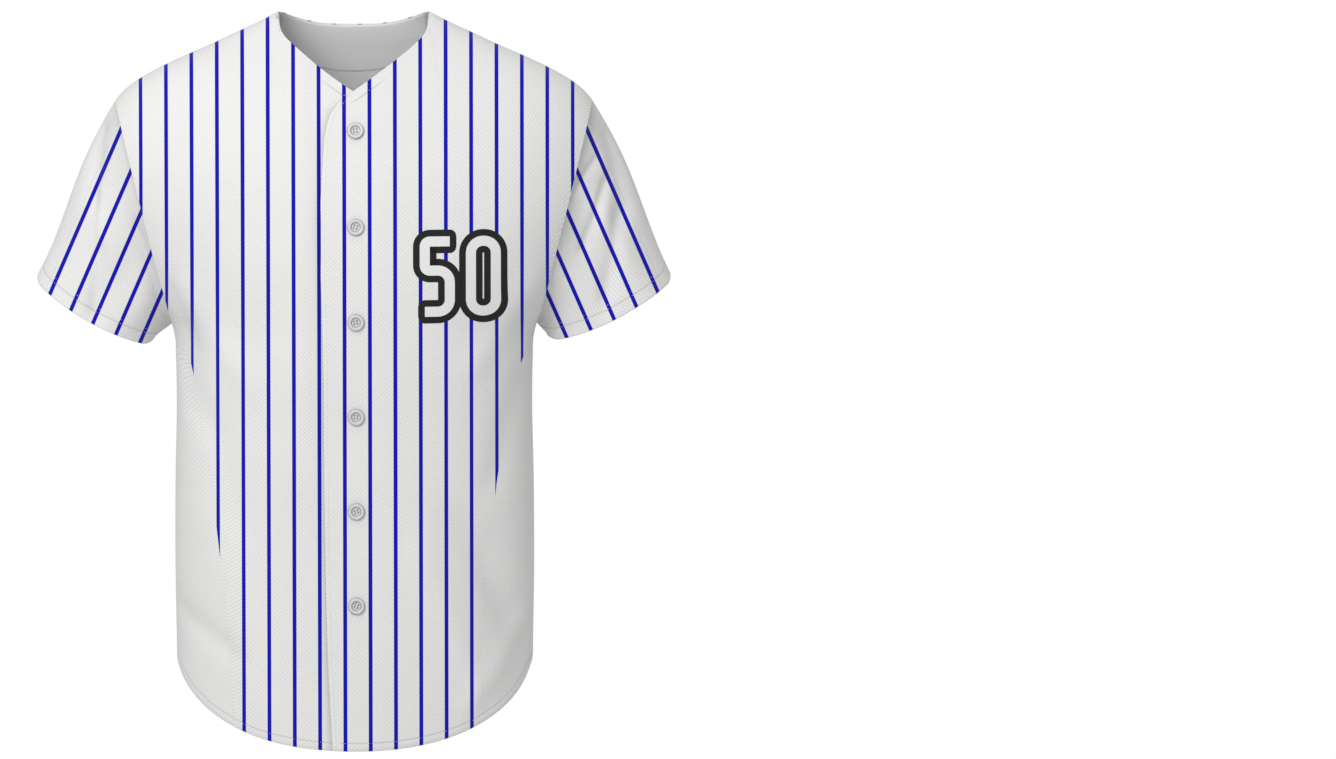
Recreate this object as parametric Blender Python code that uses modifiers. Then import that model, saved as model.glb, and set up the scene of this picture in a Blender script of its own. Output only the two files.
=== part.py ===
# A pinstriped baseball jersey as it hangs on a body: hollow, neck, sleeves and hem open.
# Metres, +Z up. The front faces -Y and the wearer's left is +X. The origin lies midway
# between the two neck points, where the shoulder lines meet the collarless neckline.

import math

import bpy
import numpy as np
from mathutils import Vector

CLOTH_WALL = 0.002          # knit with its folded edges and seam allowances
SEAM_GAP = 0.00015          # each piece stops this far short of the seam line
ROUNDNESS = 2.2             # 2 gives elliptic levels, more gives squarer ones
NECK_POINT_Z = -0.0004
PANEL_JOIN_Z = -0.330       # the side panels start here, at the foot of the armhole
HEM_SIDE_Z = -0.700
HEM_DROP = 0.0907           # how far the shirt tail hangs below the side
HEM_CORNER = 0.20
ARMHOLE_X = 0.257           # the armhole line in the front view: X at its top ...
ARMHOLE_TOP_Z = -0.098
ARMHOLE_LEAN = 0.247        # ... and how far X falls for each metre down
SLEEVE_DEPTH = 0.052        # half the sleeve opening from front to back
CUFF_BOW = 0.0075           # the cuff edge hangs this much lower front and back
BUTTON_DIAMETER = 0.018
BUTTON_COUNT = 6
BUTTON_FIRST_Z = -0.1245
BUTTON_PITCH = 0.102
BUTTON_X = 0.0016
LAYER_RAISE = 0.0008        # the buttonhole side lies this much proud ...
LAYER_SINK = 0.0024         # ... and the button side is pressed in by this much
FACING_WALL = 0.0012
FACING_GAP = 0.0011

# Half the body's width at a height. Above the armhole this is the shoulder line.
HALF_WIDTH = [
    (-0.0004, 0.0812), (-0.0108, 0.101), (-0.0238, 0.129), (-0.0369, 0.157), (-0.050, 0.187),
    (-0.063, 0.214), (-0.0759, 0.236), (-0.0889, 0.2515), (-0.0985, 0.2590), (-0.110, 0.2665),
    (-0.130, 0.276), (-0.160, 0.280), (-0.200, 0.272), (-0.250, 0.249), (-0.300, 0.2210),
    (-0.322, 0.2075), (-0.338, 0.1977), (-0.352, 0.1942), (-0.375, 0.1932), (-0.420, 0.1925), (-0.500, 0.194), (-0.600, 0.1945),
    (-0.700, 0.193), (-0.800, 0.192),
]
FRONT_DEPTH = [
    (0.001, 0.030), (-0.020, 0.041), (-0.050, 0.065), (-0.090, 0.091), (-0.150, 0.111),
    (-0.200, 0.121), (-0.250, 0.126), (-0.350, 0.127), (-0.450, 0.122), (-0.550, 0.120),
    (-0.700, 0.122), (-0.800, 0.125),
]
BACK_DEPTH = [
    (0.001, 0.048), (-0.020, 0.056), (-0.050, 0.072), (-0.100, 0.098), (-0.150, 0.114),
    (-0.200, 0.121), (-0.250, 0.121), (-0.350, 0.114), (-0.450, 0.108), (-0.550, 0.108),
    (-0.700, 0.115), (-0.800, 0.120),
]

# Where the side panel meets the front and the back: height, X.
FRONT_SEAM = [
    (-0.330, 0.1997), (-0.350, 0.1905), (-0.380, 0.1800), (-0.440, 0.1665), (-0.520, 0.1520),
    (-0.610, 0.1410), (-0.690, 0.1350), (-0.790, 0.1300),
]
BACK_SEAM = [
    (-0.330, 0.1997), (-0.350, 0.1850), (-0.380, 0.1725), (-0.440, 0.1575), (-0.510, 0.1420),
    (-0.560, 0.1310), (-0.620, 0.1170), (-0.700, 0.1050), (-0.790, 0.1000),
]

# The neckline from the middle to the neck point: run along it, X, height.
FRONT_NECK = [
    (0.0, -0.0040, -0.0850), (0.22, 0.0165, -0.0712), (0.48, 0.0430, -0.0518),
    (0.72, 0.0670, -0.0325), (0.84, 0.0762, -0.0232), (0.92, 0.0801, -0.0145),
    (1.0, 0.0812, -0.0004),
]
BACK_NECK = [
    (0.0, 0.0, -0.0170), (0.35, 0.027, -0.0162), (0.60, 0.047, -0.0132),
    (0.85, 0.069, -0.0062), (1.0, 0.0812, -0.0004),
]

# The free edge of the buttonhole side: height, X.
FREE_EDGE = [
    (-0.085, -0.0040), (-0.092, -0.0130), (-0.102, -0.0220), (-0.113, -0.0270),
    (-0.126, -0.0305), (-0.150, -0.0327), (-0.400, -0.0328), (-0.600, -0.0310),
    (-0.700, -0.0285), (-0.790, -0.0240),
]

# Soft folds: front or back, from X and Z, to X and Z, half width, height out of the cloth.
FOLDS = [
    (-1, -0.180, -0.300, -0.120, -0.390, 0.016, 0.0035),
    (-1, -0.186, -0.350, -0.160, -0.440, 0.012, -0.0030),
    (-1, 0.184, -0.300, 0.135, -0.370, 0.016, 0.0030),
    (-1, 0.120, -0.560, 0.185, -0.670, 0.020, -0.0045),
    (-1, 0.075, -0.590, 0.125, -0.710, 0.018, 0.0035),
    (-1, -0.190, -0.645, -0.130, -0.690, 0.012, -0.0035),
    (-1, -0.150, -0.560, -0.105, -0.740, 0.022, 0.0030),
    (-1, -0.060, -0.540, -0.050, -0.770, 0.018, -0.0025),
    (1, 0.132, -0.400, 0.134, -0.560, 0.016, 0.0050),
    (1, 0.134, -0.560, 0.176, -0.665, 0.016, 0.0050),
    (1, 0.165, -0.430, 0.160, -0.580, 0.014, -0.0040),
    (1, -0.170, -0.330, -0.140, -0.500, 0.018, -0.0040),
    (1, -0.130, -0.620, -0.170, -0.720, 0.022, -0.0045),
    (1, 0.100, -0.700, 0.050, -0.780, 0.016, -0.0030),
]

# Half the cuff's width, its centre and its tilt: the two sleeves hang a little unlike.
CUFFS = {
    "left": dict(half=0.0742, x=0.2781, z=-0.3242, tilt=math.radians(26.9)),
    "right": dict(half=0.0713, x=0.2825, z=-0.3257, tilt=math.radians(29.6)),
}
# Folds round each sleeve: place round it (0 top, 0.25 front), drift to the cuff, half width, height.
SLEEVE_FOLDS = {
    "left": [(0.17, -0.02, 0.035, 0.0050), (0.25, -0.05, 0.030, -0.0045), (0.34, -0.06, 0.035, 0.0040),
             (0.70, 0.04, 0.040, 0.0040), (0.80, 0.04, 0.035, -0.0035),
             (0.0, 0.0, 0.055, 0.0028), (1.0, 0.0, 0.055, 0.0028)],
    "right": [(0.19, 0.00, 0.040, 0.0030), (0.29, -0.04, 0.035, -0.0035), (0.37, -0.04, 0.035, 0.0030),
              (0.68, 0.03, 0.040, 0.0035), (0.78, 0.03, 0.040, -0.0030),
              (0.0, 0.0, 0.055, 0.0028), (1.0, 0.0, 0.055, 0.0028)],
}

FRONT_NECK_STEPS = 8
BACK_NECK_STEPS = 6
SHOULDER_STEPS = 8
UPPER_STEPS = 14
LOWER_STEPS = 12
SIDE_STEPS = 10
SLEEVE_STEPS = 8


def curve(rows, at):
    # a smooth curve through (place, value) rows, read at one or many places
    rows = np.array(rows)
    place, value = rows[np.argsort(rows[:, 0])].T
    step = np.diff(place)
    slope = np.diff(value) / step
    lean = np.empty_like(value)
    lean[0] = slope[0]
    lean[-1] = slope[-1]
    lean[1:-1] = (slope[:-1] * step[1:] + slope[1:] * step[:-1]) / (step[1:] + step[:-1])
    at = np.clip(at, place[0], place[-1])
    i = np.clip(np.searchsorted(place, at) - 1, 0, len(step) - 1)
    t = (at - place[i]) / step[i]
    ends = value[i] * (1 + 2 * t) * (1 - t) ** 2 + value[i + 1] * t ** 2 * (3 - 2 * t)
    return ends + step[i] * (lean[i] * t * (1 - t) ** 2 - lean[i + 1] * t ** 2 * (1 - t))


def smooth(t):
    t = np.clip(t, 0, 1)
    return t * t * (3 - 2 * t)


def unit(vectors):
    return vectors / np.linalg.norm(vectors, axis=-1, keepdims=True)


def depth(z, side):
    return np.where(np.asarray(side) < 0, curve(FRONT_DEPTH, z), curve(BACK_DEPTH, z))


def body(x, z, side):
    # the point of the body's surface at x and z, on the front (side -1) or the back (1)
    rest = np.clip(1 - (np.abs(x) / curve(HALF_WIDTH, z)) ** ROUNDNESS, 0, 1)
    y = side * depth(z, side) * rest ** (1 / ROUNDNESS)
    return np.stack(np.broadcast_arrays(x, y, z), axis=-1)


def body_at_angle(angle, z):
    # the same surface by the angle round the body: 0 at the wearer's left, -90 degrees in front
    reach = (np.abs(np.cos(angle)) ** ROUNDNESS + np.abs(np.sin(angle)) ** ROUNDNESS) ** (-1 / ROUNDNESS)
    x = curve(HALF_WIDTH, z) * reach * np.cos(angle)
    y = depth(z, np.sin(angle)) * reach * np.sin(angle)
    return np.stack(np.broadcast_arrays(x, y, z), axis=-1)


def level_sum(x, y, z):
    return (np.abs(x) / curve(HALF_WIDTH, z)) ** ROUNDNESS + (np.abs(y) / depth(z, y)) ** ROUNDNESS


def body_normal(points):
    x, y, z = np.moveaxis(points, -1, 0)
    width = curve(HALF_WIDTH, z)
    across = np.sign(x) * (np.abs(x) / width) ** (ROUNDNESS - 1) / width
    deep = depth(z, y)
    through = np.sign(y) * (np.abs(y) / deep) ** (ROUNDNESS - 1) / deep
    tiny = 1e-5
    upward = (level_sum(x, y, z + tiny) - level_sum(x, y, z - tiny)) / (2 * tiny * ROUNDNESS)
    return unit(np.stack([across, through, upward], axis=-1))


def fold_height(points):
    x, y, z = np.moveaxis(points, -1, 0)
    total = np.zeros(x.shape)
    for side, x0, z0, x1, z1, width, height in FOLDS:
        length = math.hypot(x1 - x0, z1 - z0)
        along = ((x - x0) * (x1 - x0) + (z - z0) * (z1 - z0)) / length
        off = ((x - x0) * (z1 - z0) - (z - z0) * (x1 - x0)) / length
        past = np.maximum(np.maximum(-along, along - length), 0)
        reach = np.exp(-(off / width) ** 2 - (past / (1.6 * width)) ** 2)
        total = total + height * reach * smooth(side * y / 0.045 - 0.15)
    # the folds die out towards the armhole, the shoulder and the buttons
    return total * smooth((-0.16 - z) / 0.14) * smooth((np.abs(x) - 0.030) / 0.03)


def hem_height(points):
    # the shirt tail: high at the sides, low in front and behind
    share = np.abs(points[..., 1]) / depth(points[..., 2], points[..., 1])
    rise = (np.sqrt(share ** 2 + HEM_CORNER ** 2) - HEM_CORNER) / (math.sqrt(1 + HEM_CORNER ** 2) - HEM_CORNER)
    return HEM_SIDE_Z - HEM_DROP * rise


def settle_on_hem(point_at):
    z = np.full(np.shape(point_at(HEM_SIDE_Z)[..., 0]), HEM_SIDE_Z)
    for _ in range(8):
        z = hem_height(point_at(z))
    return z


def armhole_x(z):
    return ARMHOLE_X + ARMHOLE_LEAN * (z - ARMHOLE_TOP_Z)


def armhole_meets_outline(low, high):
    # the height between the two where the armhole line crosses the body's outline
    inside_low = armhole_x(low) < curve(HALF_WIDTH, low)
    for _ in range(60):
        middle = (low + high) / 2
        if (armhole_x(middle) < curve(HALF_WIDTH, middle)) == inside_low:
            low = middle
        else:
            high = middle
    return middle


SHOULDER_TIP_Z = armhole_meets_outline(-0.115, -0.085)
ARMPIT_Z = armhole_meets_outline(-0.345, -0.325)


def column_share(steps):
    # closer together towards the side, where the body turns away
    even = np.linspace(0, 1, steps + 1)
    return 0.45 * even + 0.55 * np.sin(even * math.pi / 2)


def upper_share():
    t = np.linspace(0, 1, UPPER_STEPS + 1)
    return (t * t + 0.15 * t) / 1.15


def panel_half(side, neck, neck_steps, seam, inner_edge):
    # one half of the front or the back on the +X side: rows from the top down, columns outwards
    run = np.linspace(0, 1, neck_steps + 1)
    neck = np.array(neck)
    neck_x = curve(neck[:, [0, 1]], run)
    neck_z = curve(neck[:, [0, 2]], run)
    shoulder_z = np.linspace(NECK_POINT_Z, SHOULDER_TIP_Z, SHOULDER_STEPS + 1)[1:]
    top_x = np.concatenate([neck_x, curve(HALF_WIDTH, shoulder_z)])
    top_z = np.concatenate([neck_z, shoulder_z])
    columns = len(top_x)
    share = column_share(columns - 1)
    edge_pull = (1 - np.arange(columns) / (columns - 1)) ** 2

    def across(z):
        inner = curve(inner_edge, z)
        return inner + (curve(seam, z) - inner) * share

    join_x = across(np.full(columns, PANEL_JOIN_Z))
    rows = []
    for q in upper_share():
        z = top_z + (PANEL_JOIN_Z - top_z) * q
        x = top_x + (join_x - top_x) * q
        straight = top_x[0] + (join_x[0] - top_x[0]) * (z - top_z[0]) / (PANEL_JOIN_Z - top_z[0])
        # columns near the free edge follow its curve
        x = x + (curve(inner_edge, z) - straight) * edge_pull * smooth(q * 40)
        rows.append(body(np.minimum(x, curve(HALF_WIDTH, z)), z, side))
    rows[0][neck_steps:, 1] = 0
    hem = settle_on_hem(lambda z: body(across(z), z, side))
    for q in np.linspace(0, 1, LOWER_STEPS + 1)[1:]:
        z = PANEL_JOIN_Z + (hem - PANEL_JOIN_Z) * q
        rows.append(body(across(z), z, side))
    return np.array(rows)


def side_panel():
    s = np.linspace(0, 1, SIDE_STEPS + 1)
    side = np.where(s < 0.5, -1, 1)
    # the foot of the armhole, at even steps from front to back
    fine_z = np.linspace(ARMPIT_Z, PANEL_JOIN_Z, 400)
    top_z = []
    for share, facing in zip(np.abs(2 * s - 1), side):
        reach = np.abs(body(armhole_x(fine_z), fine_z, facing)[:, 1])
        top_z.append(np.interp(share * reach[-1], reach, fine_z))
    top_z = np.array(top_z)
    top = body(armhole_x(top_z), top_z, side)
    top[SIDE_STEPS // 2, 1] = 0

    def angle_of(points):
        z = points[..., 2]
        return np.arctan2(points[..., 1] / depth(z, points[..., 1]), points[..., 0] / curve(HALF_WIDTH, z))

    def angles(z):
        first = angle_of(body(curve(FRONT_SEAM, z), z, -1))
        last = angle_of(body(curve(BACK_SEAM, z), z, 1))
        return first + (last - first) * s

    hem = settle_on_hem(lambda z: body_at_angle(angles(z), z))
    rows = [top]
    offset = angle_of(top) - angles(top_z)
    for q in np.linspace(0, 1, LOWER_STEPS + 1)[1:]:
        z = top_z + (hem - top_z) * q
        rows.append(body_at_angle(angles(z) + offset * (1 - q) ** 4 * (s * (1 - s) > 0), z))
    return np.array(rows)


def sleeve(name, ring, ring_normal):
    # from the armhole ring to the cuff ring: rows outwards, columns round, top, front, underarm, back
    cuff = CUFFS[name]
    lean = cuff["tilt"]
    out = np.array([math.cos(lean), 0, math.sin(lean)])
    down = np.array([math.sin(lean), 0, -math.cos(lean)])
    half = UPPER_STEPS + SIDE_STEPS // 2
    steps = np.linalg.norm(np.diff(np.vstack([ring, ring[:1]]), axis=0), axis=1)
    front = np.concatenate([[0], np.cumsum(steps[:half])]) / steps[:half].sum() / 2
    back = 0.5 + np.cumsum(steps[half:-1]) / steps[half:].sum() / 2
    place = np.concatenate([front, back])
    turn = place * 2 * math.pi
    end = (
        np.array([cuff["x"], 0, cuff["z"]])
        + out * (cuff["half"] * np.cos(turn))[:, None]
        + np.array([0, -SLEEVE_DEPTH, 0]) * np.sin(turn)[:, None]
        + down * (CUFF_BOW * np.sin(turn) ** 2)[:, None]
    )
    length = np.linalg.norm(end - ring, axis=1)[:, None]
    straight = (end - ring) / length
    flush = unit(straight - ring_normal * (straight * ring_normal).sum(axis=1, keepdims=True))
    blend = (0.15 + 0.55 * (0.5 + 0.5 * np.cos(turn)))[:, None]
    start = unit(straight * (1 - blend) + flush * blend)
    rows = []
    for s in np.linspace(0, 1, SLEEVE_STEPS + 1):
        near = ring * (1 - s) ** 3 + 3 * (ring + start * length / 3) * s * (1 - s) ** 2
        far = 3 * (end - down * length / 3) * s * s * (1 - s) + end * s ** 3
        rows.append(near + far)
    grid = np.array(rows)
    normal = sleeve_normal(grid)
    s = np.linspace(0, 1, SLEEVE_STEPS + 1)[:, None]
    for at, drift, width, height in SLEEVE_FOLDS[name]:
        reach = np.exp(-((place - at - drift * s) / width) ** 2)
        grid = grid + normal * (height * reach * smooth(s * 2.2) * (1 - 0.6 * smooth(2 * s - 1)))[..., None]
    return grid, sleeve_normal(grid)


def sleeve_normal(grid):
    round_it = np.roll(grid, -1, axis=1) - np.roll(grid, 1, axis=1)
    outwards = np.gradient(grid, axis=0)
    return unit(np.cross(round_it, outwards))


def shift(grid, first_row, last_row, first_column, last_column):
    # how far each edge that is sewn is moved in from the seam line
    move = np.zeros(grid.shape)
    if first_row:
        move[0] += unit(grid[1] - grid[0]) * SEAM_GAP
    if last_row:
        move[-1] += unit(grid[-2] - grid[-1]) * SEAM_GAP
    if first_column:
        move[:, 0] += unit(grid[:, 1] - grid[:, 0]) * SEAM_GAP
    if last_column:
        move[:, -1] += unit(grid[:, -2] - grid[:, -1]) * SEAM_GAP
    return move


def material(name, colour, roughness):
    new = bpy.data.materials.new(name)
    new.use_nodes = True
    shader = new.node_tree.nodes["Principled BSDF"]
    shader.inputs["Base Color"].default_value = (*colour, 1)
    shader.inputs["Roughness"].default_value = roughness
    shader.inputs["Metallic"].default_value = 0
    return new


def cloth(name, outer, inner, ring, colour, move=0.0):
    # closes an outer and an inner grid into one wall; ring joins the last column to the first
    rows, columns = outer.shape[:2]
    count = rows * columns
    points = np.concatenate([(outer + move).reshape(-1, 3), (inner + move).reshape(-1, 3)])
    index = np.arange(count).reshape(rows, columns)
    if ring:
        index = np.concatenate([index, index[:, :1]], axis=1)
    corners = [index[:-1, :-1], index[:-1, 1:], index[1:, 1:], index[1:, :-1]]
    faces = np.stack(corners, axis=-1).reshape(-1, 4)
    walls = faces.tolist() + (faces[:, ::-1] + count).tolist()
    edges = [index[0, ::-1], index[-1]]
    if not ring:
        edges += [index[:, 0], index[::-1, -1]]
    for edge in edges:
        for a, b in zip(edge[:-1].tolist(), edge[1:].tolist()):
            # both pieces at a seam split its strip from the higher outer corner, so they match
            if points[a][2] > points[b][2]:
                walls += [(a, b, b + count), (a, b + count, a + count)]
            else:
                walls += [(a, b, a + count), (b, b + count, a + count)]
    mesh = bpy.data.meshes.new(name)
    mesh.from_pydata(points.tolist(), [], walls)
    mesh.validate()
    mesh.shade_smooth()
    corner = points[faces]
    out = np.cross(corner[:, 2] - corner[:, 0], corner[:, 3] - corner[:, 1])
    wall = points[faces] - points[faces + count]
    if (out * wall.sum(axis=1)).sum() < 0:
        mesh.flip_normals()
    made = bpy.data.objects.new(name, mesh)
    mesh.materials.append(material(name + "_cloth", colour, 0.85))
    collection.objects.link(made)
    return made


def mirrored(points):
    return points * np.array([-1, 1, 1])


def button(name, place, normal):
    half = BUTTON_DIAMETER / 2
    profile = [
        (0.0, 0.0021), (0.46 * half, 0.0021), (0.66 * half, 0.0032), (0.88 * half, 0.0032),
        (half, 0.0018), (0.90 * half, 0.0), (0.0, 0.0),
    ]
    mesh = bpy.data.meshes.new(name)
    points = [(r, 0.0, z) for r, z in profile]
    mesh.from_pydata(points, [(i, i + 1) for i in range(len(points) - 1)], [])
    made = bpy.data.objects.new(name, mesh)
    turned = made.modifiers.new("turned", "SCREW")
    turned.axis = "Z"
    turned.steps = 20
    turned.render_steps = 20
    turned.use_merge_vertices = True
    turned.merge_threshold = 0.00005
    turned.use_smooth_shade = True
    made.location = place
    made.rotation_mode = "QUATERNION"
    made.rotation_quaternion = normal.to_track_quat("Z", "Y")
    mesh.materials.append(material(name + "_plastic", (0.86, 0.86, 0.84), 0.30))
    collection.objects.link(made)
    return made


def seam_mitre(panel_normal, sleeve_first_normal):
    # at the armhole both walls end on one slanting strip, halfway between their directions
    middle = unit(panel_normal + sleeve_first_normal)
    return middle * np.minimum(1 / (middle * panel_normal).sum(axis=-1, keepdims=True), 1.9)


for old in list(bpy.data.objects):
    bpy.data.objects.remove(old, do_unlink=True)
collection = bpy.data.collections.new("baseball_jersey")
bpy.context.scene.collection.children.link(collection)

middle_line = [(-0.8, 0.0), (0.0, 0.0)]
front = panel_half(-1, FRONT_NECK, FRONT_NECK_STEPS, FRONT_SEAM, FREE_EDGE)
back = panel_half(1, BACK_NECK, BACK_NECK_STEPS, BACK_SEAM, middle_line)
side = side_panel()

front_raise = LAYER_RAISE * smooth((0.055 - front[..., 0]) / 0.025)
front_sink = -LAYER_SINK * smooth((0.058 - front[..., 0]) / 0.022)
front_normal = body_normal(front)
back_normal = body_normal(back)
side_normal = body_normal(side)

for name, mirror in (("left", False), ("right", True)):
    flip = mirrored if mirror else (lambda points: points)
    ring_base = np.concatenate([front[: UPPER_STEPS + 1, -1], side[0, 1:-1], back[UPPER_STEPS:0:-1, -1]])
    ring_normal = body_normal(ring_base)
    ring = ring_base + ring_normal * fold_height(flip(ring_base))[:, None]
    grid, normal = sleeve(name, ring, ring_normal)
    mitre = seam_mitre(ring_normal, normal[0])
    inner = grid - normal * CLOTH_WALL
    inner[0] = grid[0] - mitre * CLOTH_WALL
    # under the arm the seam turns sharply, so the sleeve keeps a little further off there
    drop = smooth((ARMHOLE_TOP_Z - ring[:, 2:]) / (ARMHOLE_TOP_Z - ARMPIT_Z) * 2 - 1)
    move = shift(grid, True, False, False, False) * (1 + 2.5 * drop)
    cloth("sleeve_" + name, flip(grid), flip(inner), True, (0.78, 0.78, 0.77), flip(move))

    # the body pieces on this side take the same slanting strip along the armhole
    front_dir = front_normal.copy()
    extra = front_sink if mirror else front_raise
    front_dir[: UPPER_STEPS + 1, -1] = mitre[: UPPER_STEPS + 1]
    outer = flip(front + front_normal * (fold_height(flip(front)) + extra)[..., None])
    inner = outer - flip(front_dir) * CLOTH_WALL
    move = flip(shift(front, False, False, False, True))
    top_seam = unit(front[1] - front[0]) * SEAM_GAP
    top_seam[:FRONT_NECK_STEPS] = 0
    move[0] += flip(top_seam)
    cloth("front_" + name, outer, inner, False, (0.80, 0.80, 0.79), move)

    side_dir = side_normal.copy()
    side_dir[0] = mitre[UPPER_STEPS: UPPER_STEPS + SIDE_STEPS + 1]
    outer = flip(side + side_normal * fold_height(flip(side))[..., None])
    inner = outer - flip(side_dir) * CLOTH_WALL
    cloth("side_panel_" + name, outer, inner, False, (0.76, 0.76, 0.75), flip(shift(side, True, False, True, True)))

    back_dir = back_normal.copy()
    back_dir[1: UPPER_STEPS + 1, -1] = mitre[: -UPPER_STEPS - 1: -1]
    back_dir[0, -1] = mitre[0]
    outer = flip(back + back_normal * fold_height(flip(back))[..., None])
    inner = outer - flip(back_dir) * CLOTH_WALL
    move = shift(back, False, False, False, True)
    top_seam = unit(back[1] - back[0]) * SEAM_GAP
    top_seam[:BACK_NECK_STEPS] = 0
    move[0] += top_seam
    if mirror:
        right_half = (outer, inner, flip(move))
    else:
        left_half = (outer, inner, move)

whole_back = [
    np.concatenate([right[:, :0:-1], left], axis=1) for right, left in zip(right_half, left_half)
]
cloth("back", whole_back[0], whole_back[1], False, (0.79, 0.79, 0.78), whole_back[2])

# The half-moon inside the back of the neck, sewn behind the back panel.
facing_x = np.linspace(-0.072, 0.072, 15)
neck = np.array(BACK_NECK)
half_run = np.linspace(0, 1, 40)
edge_z = np.interp(np.abs(facing_x), curve(neck[:, [0, 1]], half_run), curve(neck[:, [0, 2]], half_run))
top = edge_z - 0.003 - 0.010 * smooth((np.abs(facing_x) - 0.030) / 0.040)
low = -0.069 + 3.2 * facing_x ** 2
facing = np.array([body(facing_x, top + (low - top) * q, 1) for q in np.linspace(0, 1, 6)])
facing_normal = body_normal(facing)
facing_outer = facing - facing_normal * (CLOTH_WALL + FACING_GAP)
cloth("back_neck_facing", facing_outer, facing_outer - facing_normal * FACING_WALL, False, (0.60, 0.60, 0.60))

for number in range(BUTTON_COUNT):
    z = np.array([BUTTON_FIRST_Z - BUTTON_PITCH * number])
    seat = body(np.array([BUTTON_X]), z, -1)
    out = body_normal(seat)
    place = seat + out * (LAYER_RAISE + 0.0003)
    button("button_%d" % (number + 1), Vector(place[0]), Vector(out[0]))
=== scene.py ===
import math

import bpy
import numpy as np
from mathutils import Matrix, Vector


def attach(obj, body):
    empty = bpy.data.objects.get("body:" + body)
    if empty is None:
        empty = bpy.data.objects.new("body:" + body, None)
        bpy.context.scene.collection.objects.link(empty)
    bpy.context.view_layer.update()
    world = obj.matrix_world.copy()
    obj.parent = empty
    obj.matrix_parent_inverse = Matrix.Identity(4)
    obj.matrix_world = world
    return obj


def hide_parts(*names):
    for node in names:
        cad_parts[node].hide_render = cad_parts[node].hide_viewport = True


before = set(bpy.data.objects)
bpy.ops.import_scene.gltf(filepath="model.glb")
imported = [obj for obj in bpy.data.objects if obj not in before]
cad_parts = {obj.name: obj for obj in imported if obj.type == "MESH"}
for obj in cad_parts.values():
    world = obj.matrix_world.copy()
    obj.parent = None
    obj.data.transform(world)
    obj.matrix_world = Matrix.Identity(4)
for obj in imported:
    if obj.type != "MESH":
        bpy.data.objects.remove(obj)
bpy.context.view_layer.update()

# The cut of the body, as heights and sizes in metres. The front faces -Y, the wearer's left is +X.
bodyCut = dict(
    roundness=2.2,
    neckPointZ=-0.0004,
    panelJoinZ=-0.330,
    hemSideZ=-0.700,
    hemDrop=0.0907,
    hemCorner=0.20,
    armholeX=0.257,
    armholeTopZ=-0.098,
    armholeLean=0.247,
    halfWidth=[
        (-0.0004, 0.0812), (-0.0108, 0.101), (-0.0238, 0.129), (-0.0369, 0.157), (-0.050, 0.187),
        (-0.063, 0.214), (-0.0759, 0.236), (-0.0889, 0.2515), (-0.0985, 0.2590), (-0.110, 0.2665),
        (-0.130, 0.276), (-0.160, 0.280), (-0.200, 0.272), (-0.250, 0.249), (-0.300, 0.2210),
        (-0.322, 0.2075), (-0.338, 0.1977), (-0.352, 0.1942), (-0.375, 0.1932), (-0.420, 0.1925),
        (-0.500, 0.194), (-0.600, 0.1945), (-0.700, 0.193), (-0.800, 0.192)],
    frontDepth=[
        (0.001, 0.030), (-0.020, 0.041), (-0.050, 0.065), (-0.090, 0.091), (-0.150, 0.111),
        (-0.200, 0.121), (-0.250, 0.126), (-0.350, 0.127), (-0.450, 0.122), (-0.550, 0.120),
        (-0.700, 0.122), (-0.800, 0.125)],
    backDepth=[
        (0.001, 0.048), (-0.020, 0.056), (-0.050, 0.072), (-0.100, 0.098), (-0.150, 0.114),
        (-0.200, 0.121), (-0.250, 0.121), (-0.350, 0.114), (-0.450, 0.108), (-0.550, 0.108),
        (-0.700, 0.115), (-0.800, 0.120)],
    frontSeam=[
        (-0.330, 0.1997), (-0.350, 0.1905), (-0.380, 0.1800), (-0.440, 0.1665), (-0.520, 0.1520),
        (-0.610, 0.1410), (-0.690, 0.1350), (-0.790, 0.1300)],
    backSeam=[
        (-0.330, 0.1997), (-0.350, 0.1850), (-0.380, 0.1725), (-0.440, 0.1575), (-0.510, 0.1420),
        (-0.560, 0.1310), (-0.620, 0.1170), (-0.700, 0.1050), (-0.790, 0.1000)],
    frontNeck=[
        (0.0, -0.0040, -0.0850), (0.22, 0.0165, -0.0712), (0.48, 0.0430, -0.0518),
        (0.72, 0.0670, -0.0325), (0.84, 0.0762, -0.0232), (0.92, 0.0801, -0.0145),
        (1.0, 0.0812, -0.0004)],
    backNeck=[
        (0.0, 0.0, -0.0170), (0.35, 0.027, -0.0162), (0.60, 0.047, -0.0132),
        (0.85, 0.069, -0.0062), (1.0, 0.0812, -0.0004)],
    freeEdge=[
        (-0.085, -0.0040), (-0.092, -0.0130), (-0.102, -0.0220), (-0.113, -0.0270),
        (-0.126, -0.0305), (-0.150, -0.0327), (-0.400, -0.0328), (-0.600, -0.0310),
        (-0.700, -0.0285), (-0.790, -0.0240)],
    layerRaise=0.0008,
    layerSink=0.0024,
    seamGap=0.00003,
    columnLean=0.020,
)

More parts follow.
